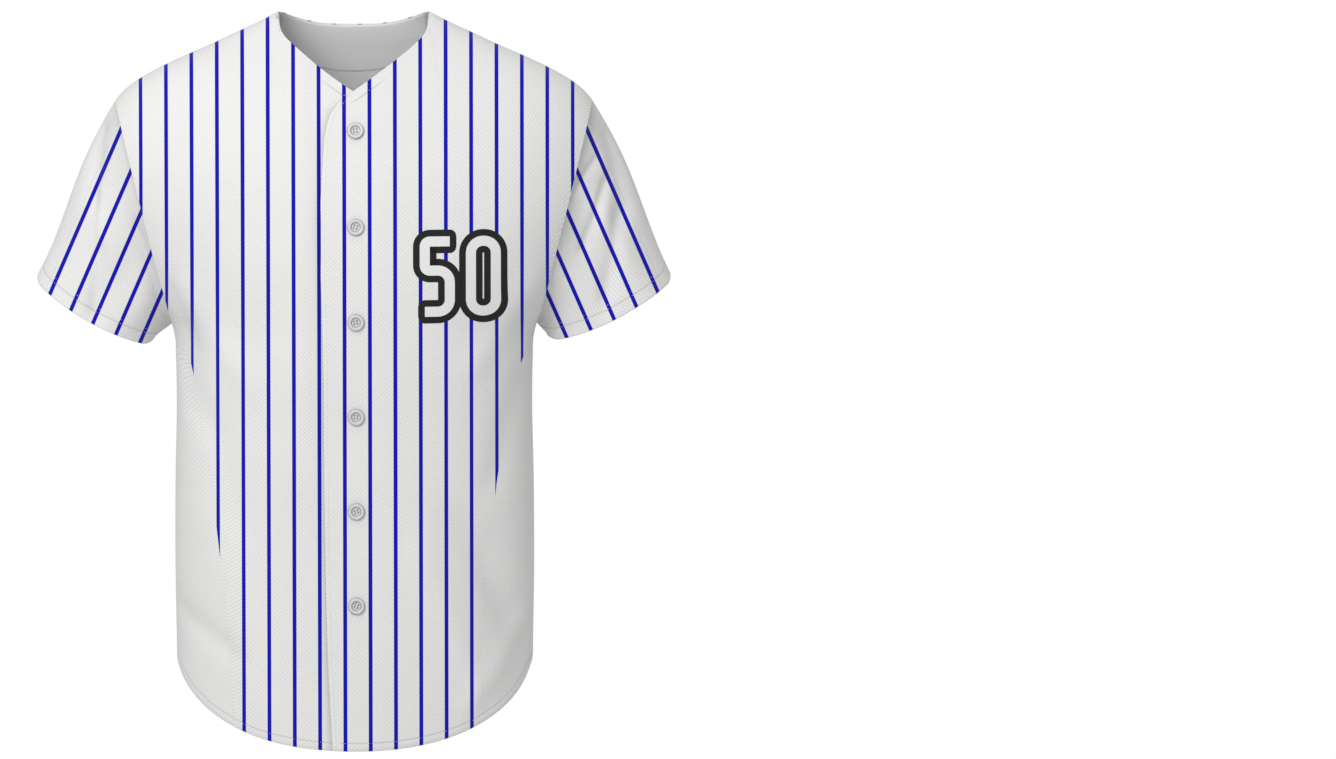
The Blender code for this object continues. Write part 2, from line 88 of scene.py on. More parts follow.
# Soft folds: front -1 or back 1, from x and z, to x and z, half width, height out of the cloth.
foldRows = [
    (-1, -0.180, -0.300, -0.120, -0.390, 0.016, 0.0035),
    (-1, -0.186, -0.350, -0.160, -0.440, 0.012, -0.0030),
    (-1, 0.184, -0.300, 0.135, -0.370, 0.016, 0.0030),
    (-1, 0.120, -0.560, 0.185, -0.670, 0.020, -0.0045),
    (-1, 0.075, -0.590, 0.125, -0.710, 0.018, 0.0035),
    (-1, -0.190, -0.645, -0.130, -0.690, 0.012, -0.0035),
    (-1, -0.150, -0.560, -0.105, -0.740, 0.022, 0.0030),
    (-1, -0.060, -0.540, -0.050, -0.770, 0.018, -0.0025),
    (1, 0.132, -0.400, 0.134, -0.560, 0.016, 0.0050),
    (1, 0.134, -0.560, 0.176, -0.665, 0.016, 0.0050),
    (1, 0.165, -0.430, 0.160, -0.580, 0.014, -0.0040),
    (1, -0.170, -0.330, -0.140, -0.500, 0.018, -0.0040),
    (1, -0.130, -0.620, -0.170, -0.720, 0.022, -0.0045),
    (1, 0.100, -0.700, 0.050, -0.780, 0.016, -0.0030),
]


def curveThrough(rows, at):
    # cubic Hermite through (place, value) rows, each slope a weighted mean of its two neighbours
    rows = np.array(rows)
    place, value = rows[np.argsort(rows[:, 0])].T
    step = np.diff(place)
    slope = np.diff(value) / step
    lean = np.empty_like(value)
    lean[0] = slope[0]
    lean[-1] = slope[-1]
    lean[1:-1] = (slope[:-1] * step[1:] + slope[1:] * step[:-1]) / (step[1:] + step[:-1])
    at = np.clip(at, place[0], place[-1])
    i = np.clip(np.searchsorted(place, at) - 1, 0, len(step) - 1)
    t = (at - place[i]) / step[i]
    ends = value[i] * (1 + 2 * t) * (1 - t) ** 2 + value[i + 1] * t ** 2 * (3 - 2 * t)
    return ends + step[i] * (lean[i] * t * (1 - t) ** 2 - lean[i + 1] * t ** 2 * (1 - t))


def smooth(t):
    # 3t^2 - 2t^3 between 0 and 1
    t = np.clip(t, 0, 1)
    return t * t * (3 - 2 * t)


def unit(vectors):
    return vectors / np.maximum(np.linalg.norm(vectors, axis=-1, keepdims=True), 1e-12)


def runOf(grid, axis):
    # the distance along a line of points, or along a grid's rows or columns, from the first
    step = np.linalg.norm(np.diff(grid, axis=axis), axis=-1)
    zero = np.zeros_like(np.take(step, [0], axis=axis))
    return np.concatenate([zero, np.cumsum(step, axis=axis)], axis=axis)


def halfWidth(z):
    return curveThrough(bodyCut["halfWidth"], z)


def bodyDepth(z, side):
    front = curveThrough(bodyCut["frontDepth"], z)
    return np.where(np.asarray(side) < 0, front, curveThrough(bodyCut["backDepth"], z))


def bodyPoint(x, z, side):
    # on a level, |x/a|^n + |y/b|^n = 1, with a the half width and b the depth at z
    n = bodyCut["roundness"]
    rest = np.clip(1 - (np.abs(x) / halfWidth(z)) ** n, 0, 1)
    y = side * bodyDepth(z, side) * rest ** (1 / n)
    return np.stack(np.broadcast_arrays(x, y, z), axis=-1)


def bodyAtAngle(angle, z):
    # the same level in polar form: r = (|cos|^n + |sin|^n)^(-1/n), x = a r cos, y = b r sin
    n = bodyCut["roundness"]
    reach = (np.abs(np.cos(angle)) ** n + np.abs(np.sin(angle)) ** n) ** (-1 / n)
    x = halfWidth(z) * reach * np.cos(angle)
    y = bodyDepth(z, np.sin(angle)) * reach * np.sin(angle)
    return np.stack(np.broadcast_arrays(x, y, z), axis=-1)


# Finer creases on the sleeves' fronts: from |x| and z, to |x| and z, half width, height out of the cloth.
sleeveCreases = dict(
    left=[
        (0.2308, -0.2017, 0.2619, -0.1586, 0.0042, -0.0024),
        (0.2489, -0.2509, 0.2730, -0.1827, 0.0056, -0.0038),
        (0.2800, -0.1345, 0.2920, -0.2047, 0.0100, -0.0050),
        (0.2860, -0.2249, 0.2719, -0.3071, 0.0095, -0.0052)],
    right=[
        (0.2757, -0.1265, 0.2817, -0.1976, 0.0090, -0.0054),
        (0.2732, -0.1900, 0.2737, -0.2400, 0.0045, 0.0016),
        (0.2760, -0.2621, 0.2782, -0.3184, 0.0095, -0.0052),
        (0.2349, -0.2296, 0.2067, -0.3032, 0.0060, -0.0036)])


# Finer folds of the front, as in foldRows.
fineRows = [
    (-1, -0.196, -0.300, -0.176, -0.352, 0.011, -0.0030),
    (-1, -0.186, -0.372, -0.178, -0.425, 0.009, -0.0024),
    (-1, 0.148, -0.585, 0.172, -0.680, 0.020, -0.0040),
    (-1, 0.188, -0.655, 0.128, -0.738, 0.013, 0.0030),
    (-1, -0.150, -0.440, -0.128, -0.540, 0.016, -0.0024),
    (-1, 0.178, -0.400, 0.150, -0.500, 0.014, -0.0026),
]


def beside(x, z, x0, z0, x1, z1, width):
    # exp(-(off/width)^2) beside the line from one point to the other, fading past its ends
    length = math.hypot(x1 - x0, z1 - z0)
    along = ((x - x0) * (x1 - x0) + (z - z0) * (z1 - z0)) / length
    off = ((x - x0) * (z1 - z0) - (z - z0) * (x1 - x0)) / length
    past = np.maximum(np.maximum(-along, along - length), 0)
    return np.exp(-(off / width) ** 2 - (past / (1.6 * width)) ** 2)


def levelSum(x, y, z):
    n = bodyCut["roundness"]
    return (np.abs(x) / halfWidth(z)) ** n + (np.abs(y) / bodyDepth(z, y)) ** n


def bodyNormal(points):
    # the gradient of |x/a|^n + |y/b|^n
    n = bodyCut["roundness"]
    x, y, z = np.moveaxis(points, -1, 0)
    width = halfWidth(z)
    deep = bodyDepth(z, y)
    across = np.sign(x) * (np.abs(x) / width) ** (n - 1) / width
    through = np.sign(y) * (np.abs(y) / deep) ** (n - 1) / deep
    upward = (levelSum(x, y, z + 1e-5) - levelSum(x, y, z - 1e-5)) / (2e-5 * n)
    return unit(np.stack([across, through, upward], axis=-1))


def foldHeight(points):
    x, y, z = np.moveaxis(points, -1, 0)
    total = np.zeros(x.shape)
    for side, x0, z0, x1, z1, width, height in foldRows + fineRows:
        total = total + height * beside(x, z, x0, z0, x1, z1, width) * smooth(side * y / 0.045 - 0.15)
    return total * smooth((-0.16 - z) / 0.14) * smooth((np.abs(x) - 0.030) / 0.03)


def hemHeight(points):
    # the shirt tail: z = side - drop * (sqrt(s^2 + c^2) - c), with s the share of the depth reached
    share = np.abs(points[..., 1]) / bodyDepth(points[..., 2], points[..., 1])
    c = bodyCut["hemCorner"]
    rise = (np.sqrt(share ** 2 + c ** 2) - c) / (math.sqrt(1 + c ** 2) - c)
    return bodyCut["hemSideZ"] - bodyCut["hemDrop"] * rise


def settleOnHem(pointAt):
    z = np.full(np.shape(pointAt(bodyCut["hemSideZ"])[..., 0]), bodyCut["hemSideZ"])
    for _ in range(8):
        z = hemHeight(pointAt(z))
    return z


def armholeX(z):
    return bodyCut["armholeX"] + bodyCut["armholeLean"] * (z - bodyCut["armholeTopZ"])


def armholeMeets(low, high):
    # the height where the armhole line crosses the body's outline, by halving
    inside = armholeX(low) < halfWidth(low)
    for _ in range(60):
        middle = (low + high) / 2
        if (armholeX(middle) < halfWidth(middle)) == inside:
            low = middle
        else:
            high = middle
    return middle


shoulderTipZ = armholeMeets(-0.115, -0.085)
armpitZ = armholeMeets(-0.345, -0.325)

# How finely each piece is worked, in rows and columns of the grid.
gridSteps = dict(frontNeck=24, backNeck=18, shoulder=36, upper=72, lower=84, side=30, sleeve=84)


def upperShare():
    t = np.linspace(0, 1, gridSteps["upper"] + 1)
    return (t * t + 0.15 * t) / 1.15


def panelHalf(side, neck, neckSteps, seam, innerEdge):
    # rows run from the neckline and shoulder to the hem, columns from the middle to the side:
    # x goes straight from its place on the top edge to its share of the width at the armpit
    run = np.linspace(0, 1, neckSteps + 1)
    neck = np.array(neck)
    shoulderZ = np.linspace(bodyCut["neckPointZ"], shoulderTipZ, gridSteps["shoulder"] + 1)[1:]
    topX = np.concatenate([curveThrough(neck[:, [0, 1]], run), halfWidth(shoulderZ)])
    topZ = np.concatenate([curveThrough(neck[:, [0, 2]], run), shoulderZ])
    columns = len(topX)
    even = np.linspace(0, 1, columns)
    share = 0.45 * even + 0.55 * np.sin(even * math.pi / 2)
    joinZ = bodyCut["panelJoinZ"]

    def across(z):
        inner = curveThrough(innerEdge, z)
        return inner + (curveThrough(seam, z) - inner) * share

    joinX = across(np.full(columns, joinZ))
    q = upperShare()[:, None]
    z = topZ + (joinZ - topZ) * q
    x = topX + (joinX - topX) * q
    straight = topX[0] + (joinX[0] - topX[0]) * (z - topZ[0]) / (joinZ - topZ[0])
    x = x + (curveThrough(innerEdge, z) - straight) * (1 - even) ** 2 * smooth(q * 40)
    # below the neck point the columns lean out, by columnLean * q * (1 - q) / (q + 0.1), so that
    # none runs along the edge
    index = np.arange(columns)
    last = columns - 1
    lean = np.where(index < neckSteps, (index / neckSteps) ** 2, (last - index) / (last - neckSteps))
    x = x + bodyCut["columnLean"] * lean * q * (1 - q) / (q + 0.1)
    upper = bodyPoint(np.minimum(x, halfWidth(z)), z, side)
    upper[0, neckSteps:, 1] = 0
    hem = settleOnHem(lambda z: bodyPoint(across(z), z, side))
    z = joinZ + (hem - joinZ) * np.linspace(0, 1, gridSteps["lower"] + 1)[1:, None]
    return np.concatenate([upper, bodyPoint(across(z), z, side)])


def sidePanelGrid():
    # between the two side seams the angle round the body goes evenly from front to back
    s = np.linspace(0, 1, gridSteps["side"] + 1)
    side = np.where(s < 0.5, -1, 1)
    fineZ = np.linspace(armpitZ, bodyCut["panelJoinZ"], 400)
    reachFront = np.abs(bodyPoint(armholeX(fineZ), fineZ, -1)[:, 1])
    reachBack = np.abs(bodyPoint(armholeX(fineZ), fineZ, 1)[:, 1])
    part = np.abs(2 * s - 1)
    topZ = np.where(s < 0.5, np.interp(part * reachFront[-1], reachFront, fineZ),
                    np.interp(part * reachBack[-1], reachBack, fineZ))
    top = bodyPoint(armholeX(topZ), topZ, side)
    top[gridSteps["side"] // 2, 1] = 0

    def angleOf(points):
        z = points[..., 2]
        return np.arctan2(points[..., 1] / bodyDepth(z, points[..., 1]), points[..., 0] / halfWidth(z))

    def angles(z):
        first = angleOf(bodyPoint(curveThrough(bodyCut["frontSeam"], z), z, -1))
        last = angleOf(bodyPoint(curveThrough(bodyCut["backSeam"], z), z, 1))
        return first + (last - first) * s

    hem = settleOnHem(lambda z: bodyAtAngle(angles(z), z))
    offset = (angleOf(top) - angles(topZ)) * (s * (1 - s) > 0)
    q = np.linspace(0, 1, gridSteps["lower"] + 1)[1:, None]
    z = topZ + (hem - topZ) * q
    return np.concatenate([top[None], bodyAtAngle(angles(z) + offset * (1 - q) ** 4, z)])


# The sleeves: half the cuff's width, its centre and tilt, and the folds round each sleeve as
# place round it (0 top, 0.25 front), drift towards the cuff, half width and height.
sleeveCut = dict(
    depth=0.052,
    cuffBow=0.0075,
    cornerRadius=0.008,
    left=dict(half=0.0742, x=0.2781, z=-0.3242, tilt=math.radians(26.9),
              folds=[(0.17, -0.02, 0.035, 0.0050), (0.25, -0.05, 0.030, -0.0045),
                     (0.34, -0.06, 0.035, 0.0040), (0.70, 0.04, 0.040, 0.0040),
                     (0.80, 0.04, 0.035, -0.0035), (0.0, 0.0, 0.055, 0.0028),
                     (1.0, 0.0, 0.055, 0.0028)]),
    right=dict(half=0.0713, x=0.2825, z=-0.3257, tilt=math.radians(29.6),
               folds=[(0.19, 0.00, 0.040, 0.0030), (0.29, -0.04, 0.035, -0.0035),
                      (0.37, -0.04, 0.035, 0.0030), (0.68, 0.03, 0.040, 0.0035),
                      (0.78, 0.03, 0.040, -0.0030), (0.0, 0.0, 0.055, 0.0028),
                      (1.0, 0.0, 0.055, 0.0028)]),
)


def gridNormal(grid):
    # the cross product of the two directions of the grid
    return unit(np.cross(np.gradient(grid, axis=1), np.gradient(grid, axis=0)))


def sleeveGrid(cut, ring, ringNormal, bottom):
    # a cubic from the armhole ring to the cuff's ellipse: it leaves the body partly flush with it
    # and ends along the sleeve. The columns start and end at the top of the armhole.
    lean = cut["tilt"]
    out = np.array([math.cos(lean), 0, math.sin(lean)])
    down = np.array([math.sin(lean), 0, -math.cos(lean)])
    steps = runOf(ring, 0)
    front = np.arange(len(ring)) <= bottom
    behind = (steps - steps[bottom]) / (steps[-1] - steps[bottom])
    place = np.where(front, steps / steps[bottom] / 2, 0.5 + behind / 2)
    turn = place * 2 * math.pi
    end = (np.array([cut["x"], 0, cut["z"]])
           + out * (cut["half"] * np.cos(turn))[:, None]
           + np.array([0, -sleeveCut["depth"], 0]) * np.sin(turn)[:, None]
           + down * (sleeveCut["cuffBow"] * np.sin(turn) ** 2)[:, None])
    # the cuff's two corners, seen from the front, are rounded
    corner = sleeveCut["cornerRadius"]
    near = np.clip(1 - cut["half"] * (1 - np.abs(np.cos(turn))) / corner, 0, 1)
    end = end - down * (corner * (1 - np.sqrt(1 - near ** 2)))[:, None]
    length = np.linalg.norm(end - ring, axis=1)[:, None]
    straight = (end - ring) / length
    flush = unit(straight - ringNormal * (straight * ringNormal).sum(axis=1, keepdims=True))
    blend = (0.15 + 0.55 * (0.5 + 0.5 * np.cos(turn)))[:, None]
    start = unit(straight * (1 - blend) + flush * blend)
    s = np.linspace(0, 1, gridSteps["sleeve"] + 1)[:, None, None]
    grid = (ring * (1 - s) ** 3 + 3 * (ring + start * length / 3) * s * (1 - s) ** 2
            + 3 * (end - down * length / 3) * s * s * (1 - s) + end * s ** 3)
    normal = closedNormal(grid)
    s = s[..., 0]
    rise = np.zeros(grid.shape[:2])
    for at, drift, width, height in cut["folds"]:
        reach = np.exp(-((place - at - drift * s) / width) ** 2)
        rise = rise + height * reach * smooth(s * 2.2) * (1 - 0.6 * smooth(2 * s - 1))
    grid = grid + normal * rise[..., None]
    return grid, closedNormal(grid)


def closedNormal(grid):
    # as gridNormal, for a tube whose last column lies on its first
    wide = np.concatenate([grid[:, -2:-1], grid, grid[:, 1:2]], axis=1)
    return unit(np.cross(wide[:, 2:] - wide[:, :-2], np.gradient(grid, axis=0)))


# Meshes made from grids.

def distanceTo(points, line):
    # the shortest distance from each point to a polyline, in metres
    flat = points.reshape(-1, 1, 3)
    a, b = line[:-1], line[1:]
    along = b - a
    t = ((flat - a) * along).sum(-1) / np.maximum((along ** 2).sum(-1), 1e-12)
    near = a + np.clip(t, 0, 1)[..., None] * along
    return np.linalg.norm(flat - near, axis=-1).min(axis=1).reshape(points.shape[:-1])


def grainRun(grid, row, turn=1):
    # the knit's own coordinates in metres: across the piece from its first column, and down from one row
    down = runOf(grid, 0)
    return runOf(grid, 1) * turn, down - down[row]


def gridFaces(index):
    # one quad for each square of a grid of point numbers
    return np.stack([index[:-1, :-1], index[1:, :-1], index[1:, 1:], index[:-1, 1:]], axis=-1).reshape(-1, 4)


def rootPiece(name, mesh, materials):
    # the object that carries a finished mesh
    for material in materials:
        mesh.materials.append(material)
    piece = bpy.data.objects.new(name, mesh)
    bpy.context.scene.collection.objects.link(piece)
    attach(piece, "root")
    return piece


def clothPiece(name, outer, normal, wall, values, rounded, materials):
    # two grids a wall apart. A rounded edge gets a middle line that stands out by half the wall.
    # The edges are top, bottom, first and last. The outer face and the rounded edges take material
    # 0, the rest material 1.
    rows, columns = outer.shape[:2]
    count = rows * columns
    inner = outer - normal * wall
    index = np.arange(count).reshape(rows, columns)
    face = gridFaces(index)
    points = [outer.reshape(-1, 3), inner.reshape(-1, 3)]
    faces = [face, face[:, ::-1] + count]
    slots = [np.zeros(len(face), int), np.ones(len(face), int)]
    source = [np.arange(count), np.arange(count)]
    edges = dict(
        top=(index[0, ::-1], outer[0] - outer[1]), bottom=(index[-1], outer[-1] - outer[-2]),
        first=(index[:, 0], outer[:, 0] - outer[:, 1]), last=(index[::-1, -1], outer[:, -1] - outer[:, -2]))
    total = 2 * count
    for edgeName, (line, away) in edges.items():
        if edgeName in rounded:
            if edgeName in ("top", "last"):
                away = away[::-1]
            middle = (outer.reshape(-1, 3)[line] + inner.reshape(-1, 3)[line]) / 2 + unit(away) * wall * 0.5
            mid = total + np.arange(len(line))
            points.append(middle)
            source.append(line)
            total += len(line)
            bands = [(line, mid, 0), (mid, line + count, 0)]
        else:
            bands = [(line, line + count, 1)]
        for near, far, slot in bands:
            quad = np.stack([near[:-1], far[:-1], far[1:], near[1:]], axis=-1)
            faces.append(quad)
            slots.append(np.full(len(quad), slot))
    points = np.concatenate(points)
    faces = np.concatenate(faces)
    source = np.concatenate(source)
    mesh = bpy.data.meshes.new(name)
    mesh.from_pydata(points.tolist(), [], faces.tolist())
    if signedVolume(points, faces) < 0:
        mesh.flip_normals()
    across, down = values.pop("run")
    for key, value in values.items():
        layer = mesh.attributes.new(key, "FLOAT", "POINT")
        layer.data.foreach_set("value", value.reshape(-1)[source].astype(np.float32))
    uv = mesh.uv_layers.new(name="cloth")
    corner = np.empty(len(mesh.loops), np.int32)
    mesh.loops.foreach_get("vertex_index", corner)
    uvs = np.stack([across.reshape(-1)[source], down.reshape(-1)[source]], axis=-1)[corner]
    uv.data.foreach_set("uv", uvs.reshape(-1).astype(np.float32))
    mesh.polygons.foreach_set("material_index", np.concatenate(slots).astype(np.int32))
    mesh.shade_smooth()
    # an edge that isn't rounded is sharp, so that the cloth's shading runs evenly up to its seam
    side = np.zeros((4, len(points)), bool)
    for number, edgeName in enumerate(edges):
        if edgeName not in rounded:
            side[number, edges[edgeName][0]] = True
            side[number, edges[edgeName][0] + count] = True
    ends = np.empty(2 * len(mesh.edges), np.int32)
    mesh.edges.foreach_get("vertices", ends)
    one, other = ends.reshape(-1, 2).T
    sharp = (side[:, one] & side[:, other]).any(axis=0) & (one // count == other // count)
    layer = mesh.attributes.new("sharp_edge", "BOOLEAN", "EDGE")
    layer.data.foreach_set("value", sharp)
    return rootPiece(name, mesh, materials)


def signedVolume(points, faces):
    # six times the volume inside quads, above zero when they face outwards
    a, b, c, d = (points[faces[:, i]] for i in range(4))
    return (np.cross(a, b) * c).sum() + (np.cross(a, c) * d).sum()


def plainPiece(name, points, faces, materials, slots=None):
    mesh = bpy.data.meshes.new(name)
    mesh.from_pydata(np.asarray(points).tolist(), [], [[int(i) for i in face] for face in faces])
    if slots is not None:
        mesh.polygons.foreach_set("material_index", np.asarray(slots, np.int32))
    mesh.shade_smooth()
    return rootPiece(name, mesh, materials)


# Materials.

def hexColour(text):
    # an sRGB hex value turned to linear
    parts = np.array([int(text[i:i + 2], 16) for i in (1, 3, 5)]) / 255
    linear = np.where(parts <= 0.04045, parts / 12.92, ((parts + 0.055) / 1.055) ** 2.4)
    return (*linear.tolist(), 1.0)


def newMaterial(name):
    material = bpy.data.materials.new(name)
    material.use_nodes = True
    return material, material.node_tree, material.node_tree.nodes["Principled BSDF"]


def setInputs(tree, node, inputs):
    # an input given as another node's output is linked, and any other is a set value
    for key, value in inputs.items() if isinstance(inputs, dict) else enumerate(inputs):
        if isinstance(value, bpy.types.NodeSocket):
            tree.links.new(value, node.inputs[key])
        else:
            node.inputs[key].default_value = value


def addNode(tree, kind, inputs=(), output=0, **settings):
    node = tree.nodes.new(kind)
    for key, value in settings.items():
        setattr(node, key, value)
    setInputs(tree, node, inputs)
    return node.outputs[output]


clothLook = dict(
    base="#dfdfde", shade="#cdcdcc", stripe="#0402a0",
    stripeSpacing=0.02748, stripeSoft=0.0004,
    knitPitch=0.0031,       # a knit wale is about 1 mm; coarser here, so that it shows
    wobble=1.4, dots=0.7, cloudScale=9.0, fleckScale=420.0, grainTone=0.34,
    grooveSharpness=180.0, groovePaintedShade=0.22,
    roughness=0.82, sheen=0.04, specular=0.18)


def softLine(tree, mark, centre, sharpness):
    # exp(-sharpness * (mark - centre)^2)
    off = addNode(tree, "ShaderNodeMath", (mark, centre), operation="SUBTRACT")
    square = addNode(tree, "ShaderNodeMath", (off, off), operation="MULTIPLY")
    power = addNode(tree, "ShaderNodeMath", (square, -sharpness), operation="MULTIPLY")
    return addNode(tree, "ShaderNodeMath", (power,), operation="EXPONENT")


def darkened(tree, colour, amount, tint):
    # the colour times a grey, by an amount from 0 to 1
    return addNode(tree, "ShaderNodeMix", {0: amount, 6: colour, 7: (tint, tint, tint, 1.0)}, output=2,
                   data_type="RGBA", blend_type="MULTIPLY")


def knitCloth(name, striped, stripeEnd=None):
    # knitted polyester, dye-printed: matt, with a fine diagonal grain and a faint soft nap, and painted
    # shade in its stitch grooves and under lapping edges. The stripes end at the height stripeEnd.
    look = clothLook
    material, tree, shader = newMaterial(name)
    uv = addNode(tree, "ShaderNodeUVMap", uv_map="cloth")
    place = addNode(tree, "ShaderNodeTexCoord", output="Object")
    mark = {key: addNode(tree, "ShaderNodeAttribute", output="Fac", attribute_name=key)
            for key in ("stripe", "stripeHalf", "edgeMark", "grooveFade", "lapMark")}

    # grain = sin(p + wobble) * (1 + dots * sin(q)), with p and q along and across the wales' slant
    rate = 2 * math.pi / look["knitPitch"] / math.sqrt(2)
    along, across = (addNode(tree, "ShaderNodeVectorMath", (uv, (rate, slant, 0)), output="Value",
                             operation="DOT_PRODUCT") for slant in (rate, -rate))
    wobble = addNode(tree, "ShaderNodeTexNoise", {"Vector": uv, "Scale": 60.0, "Detail": 1.0})
    rise = addNode(tree, "ShaderNodeMath", (wobble, look["wobble"], along), operation="MULTIPLY_ADD")
    rise = addNode(tree, "ShaderNodeMath", (rise,), operation="SINE")
    dots = addNode(tree, "ShaderNodeMath", (across,), operation="SINE")
    dots = addNode(tree, "ShaderNodeMath", (dots, look["dots"], 1.0), operation="MULTIPLY_ADD")
    grain = addNode(tree, "ShaderNodeMath", (rise, dots), operation="MULTIPLY")
    cloud = addNode(tree, "ShaderNodeTexNoise", {"Vector": place, "Scale": look["cloudScale"], "Detail": 3.0})
    fleck = addNode(tree, "ShaderNodeTexNoise", {"Vector": place, "Scale": look["fleckScale"], "Detail": 2.0})
    tone = addNode(tree, "ShaderNodeMath", (cloud, fleck), operation="ADD")
    tone = addNode(tree, "ShaderNodeMath", (tone, 0.5), operation="MULTIPLY")
    tone = addNode(tree, "ShaderNodeMath", (grain, look["grainTone"], tone), operation="MULTIPLY_ADD")
    shade, base = hexColour(look["shade"]), hexColour(look["base"])
    colour = addNode(tree, "ShaderNodeMix", {0: tone, 6: shade, 7: base}, output=2, data_type="RGBA")

    if striped:
        # the stripe's own coordinate folds over once a spacing, and its edge is a little soft
        off = addNode(tree, "ShaderNodeMath", (mark["stripe"], look["stripeSpacing"] / 2),
                      operation="PINGPONG")
        inside = addNode(tree, "ShaderNodeMath", (mark["stripeHalf"], off), operation="SUBTRACT")
        inked = addNode(tree, "ShaderNodeMath", (inside, 1 / look["stripeSoft"], 0.5),
                        operation="MULTIPLY_ADD", use_clamp=True)
        if stripeEnd is not None:
            height = addNode(tree, "ShaderNodeSeparateXYZ", (place,), output=2)
            height = addNode(tree, "ShaderNodeMath", (height, stripeEnd), operation="GREATER_THAN")
            inked = addNode(tree, "ShaderNodeMath", (inked, height), operation="MULTIPLY")
        colour = addNode(tree, "ShaderNodeMix", {0: inked, 6: colour, 7: hexColour(look["stripe"])},
                         output=2, data_type="RGBA")

    # edge marks are 1 on the stitch line: a groove there, and a doubled edge from 0 to 1. The groove
    # is darkened with painted shade, and a lap mark is a painted shadow on the under layer.
    shown = addNode(tree, "ShaderNodeMath", (1.0, mark["grooveFade"]), operation="SUBTRACT")
    groove = softLine(tree, mark["edgeMark"], 1.0, look["grooveSharpness"])
    groove = addNode(tree, "ShaderNodeMath", (groove, shown), operation="MULTIPLY")
    doubled = addNode(tree, "ShaderNodeMapRange", (mark["edgeMark"], 0.97, 1.08, 1.0, 0.0),
                      interpolation_type="SMOOTHSTEP")
    doubled = addNode(tree, "ShaderNodeMath", (doubled, shown), operation="MULTIPLY")
    # painted shade darkens the stitch groove
    paintedGrooveShade = addNode(tree, "ShaderNodeMath", (groove, look["groovePaintedShade"]), operation="MULTIPLY")
    colour = darkened(tree, colour, paintedGrooveShade, 0.2)
    # painted shadow along an edge that laps over this cloth
    colour = darkened(tree, colour, mark["lapMark"], 0.42)
    relief = addNode(tree, "ShaderNodeMath", (doubled, 0.5), operation="MULTIPLY")
    relief = addNode(tree, "ShaderNodeMath", (groove, -0.9, relief), operation="MULTIPLY_ADD")
    coarse = addNode(tree, "ShaderNodeBump", {"Height": relief, "Strength": 0.9, "Distance": 0.0006})
    surface = addNode(tree, "ShaderNodeMath", (grain, fleck), operation="ADD")
    fine = addNode(tree, "ShaderNodeBump", {"Height": surface, "Normal": coarse, "Strength": 0.45,
                                            "Distance": 0.00012})
    setInputs(tree, shader, {
        "Base Color": colour, "Normal": fine, "Roughness": look["roughness"],
        "Sheen Weight": look["sheen"], "Sheen Roughness": 0.5, "Specular IOR Level": look["specular"]})
    return material


def clothInside(name):
    # the unprinted inside of the knit: plain, a little lighter than the face
    material, tree, shader = newMaterial(name)
    uv = addNode(tree, "ShaderNodeUVMap", uv_map="cloth")
    weave = addNode(tree, "ShaderNodeTexVoronoi", {"Vector": uv, "Scale": 700.0})
    cloud = addNode(tree, "ShaderNodeTexNoise", {"Vector": uv, "Scale": 12.0})
    colour = addNode(tree, "ShaderNodeMix", {0: cloud, 6: hexColour("#e4e4e4"), 7: hexColour("#eaeaea")},
                     output=2, data_type="RGBA")
    bump = addNode(tree, "ShaderNodeBump", {"Height": weave, "Strength": 0.12, "Distance": 0.0002})
    setInputs(tree, shader, {"Base Color": colour, "Normal": bump, "Roughness": 0.9,
                             "Specular IOR Level": 0.1})
    return material


def sewingThread(name, colour):
    # spun polyester thread: satin, with its twist as a fine bump
    material, tree, shader = newMaterial(name)
    place = addNode(tree, "ShaderNodeTexCoord", output="Object")
    twist = addNode(tree, "ShaderNodeTexWave", {"Vector": place, "Scale": 900.0}, output="Fac")
    bump = addNode(tree, "ShaderNodeBump", {"Height": twist, "Strength": 0.3, "Distance": 0.0001})
    setInputs(tree, shader, {"Base Color": hexColour(colour), "Normal": bump, "Roughness": 0.55})
    return material


def pearlButton(name):
    # moulded polyester resin: grey-white with faint pearly clouds under a polished face. Painted shade
    # darkens it in the corner of its dish, in its holes and under its edge, where the light doesn't reach.
    material, tree, shader = newMaterial(name)
    place = addNode(tree, "ShaderNodeTexCoord", output="Object")
    cloud = addNode(tree, "ShaderNodeTexNoise", {"Vector": place, "Scale": 160.0, "Detail": 2.0})
    hollow = addNode(tree, "ShaderNodeAttribute", output="Fac", attribute_name="hollow")
    colour = addNode(tree, "ShaderNodeMix", {0: cloud, 6: hexColour("#bcbcbc"), 7: hexColour("#cfcfcf")},
                     output=2, data_type="RGBA")
    colour = darkened(tree, colour, hollow, 0.45)
    setInputs(tree, shader, {"Base Color": colour, "Roughness": 0.25, "IOR": 1.53, "Coat Weight": 0.15})
    return material


def numberInk(name, colour):
    # a number dye-printed on the knit: flat ink with the cloth's own fleck through it
    material, tree, shader = newMaterial(name)
    place = addNode(tree, "ShaderNodeTexCoord", output="Object")
    fleck = addNode(tree, "ShaderNodeTexNoise", {"Vector": place, "Scale": 380.0, "Detail": 2.0})
    share = addNode(tree, "ShaderNodeMath", (fleck, 0.18), operation="MULTIPLY")
    bump = addNode(tree, "ShaderNodeBump", {"Height": fleck, "Strength": 0.35, "Distance": 0.00015})
    colour = darkened(tree, hexColour(colour), share, 0.55)
    setInputs(tree, shader, {"Base Color": colour, "Normal": bump, "Roughness": 0.85,
                             "Specular IOR Level": 0.10})
    return material


stripedKnit = knitCloth("dye-printed knit, pinstriped", True)
stripedBackKnit = knitCloth("dye-printed knit, pinstripes ending at the waist", True, -0.608)
plainKnit = knitCloth("dye-printed knit, plain", False)
insideKnit = clothInside("unprinted inside of the knit")
whiteThread = sewingThread("white polyester thread", "#dcdcdb")
buttonResin = pearlButton("moulded polyester button")
inkDark = numberInk("charcoal ink on knit", "#262627")
inkLight = numberInk("light grey ink on knit", "#dcdcdb")

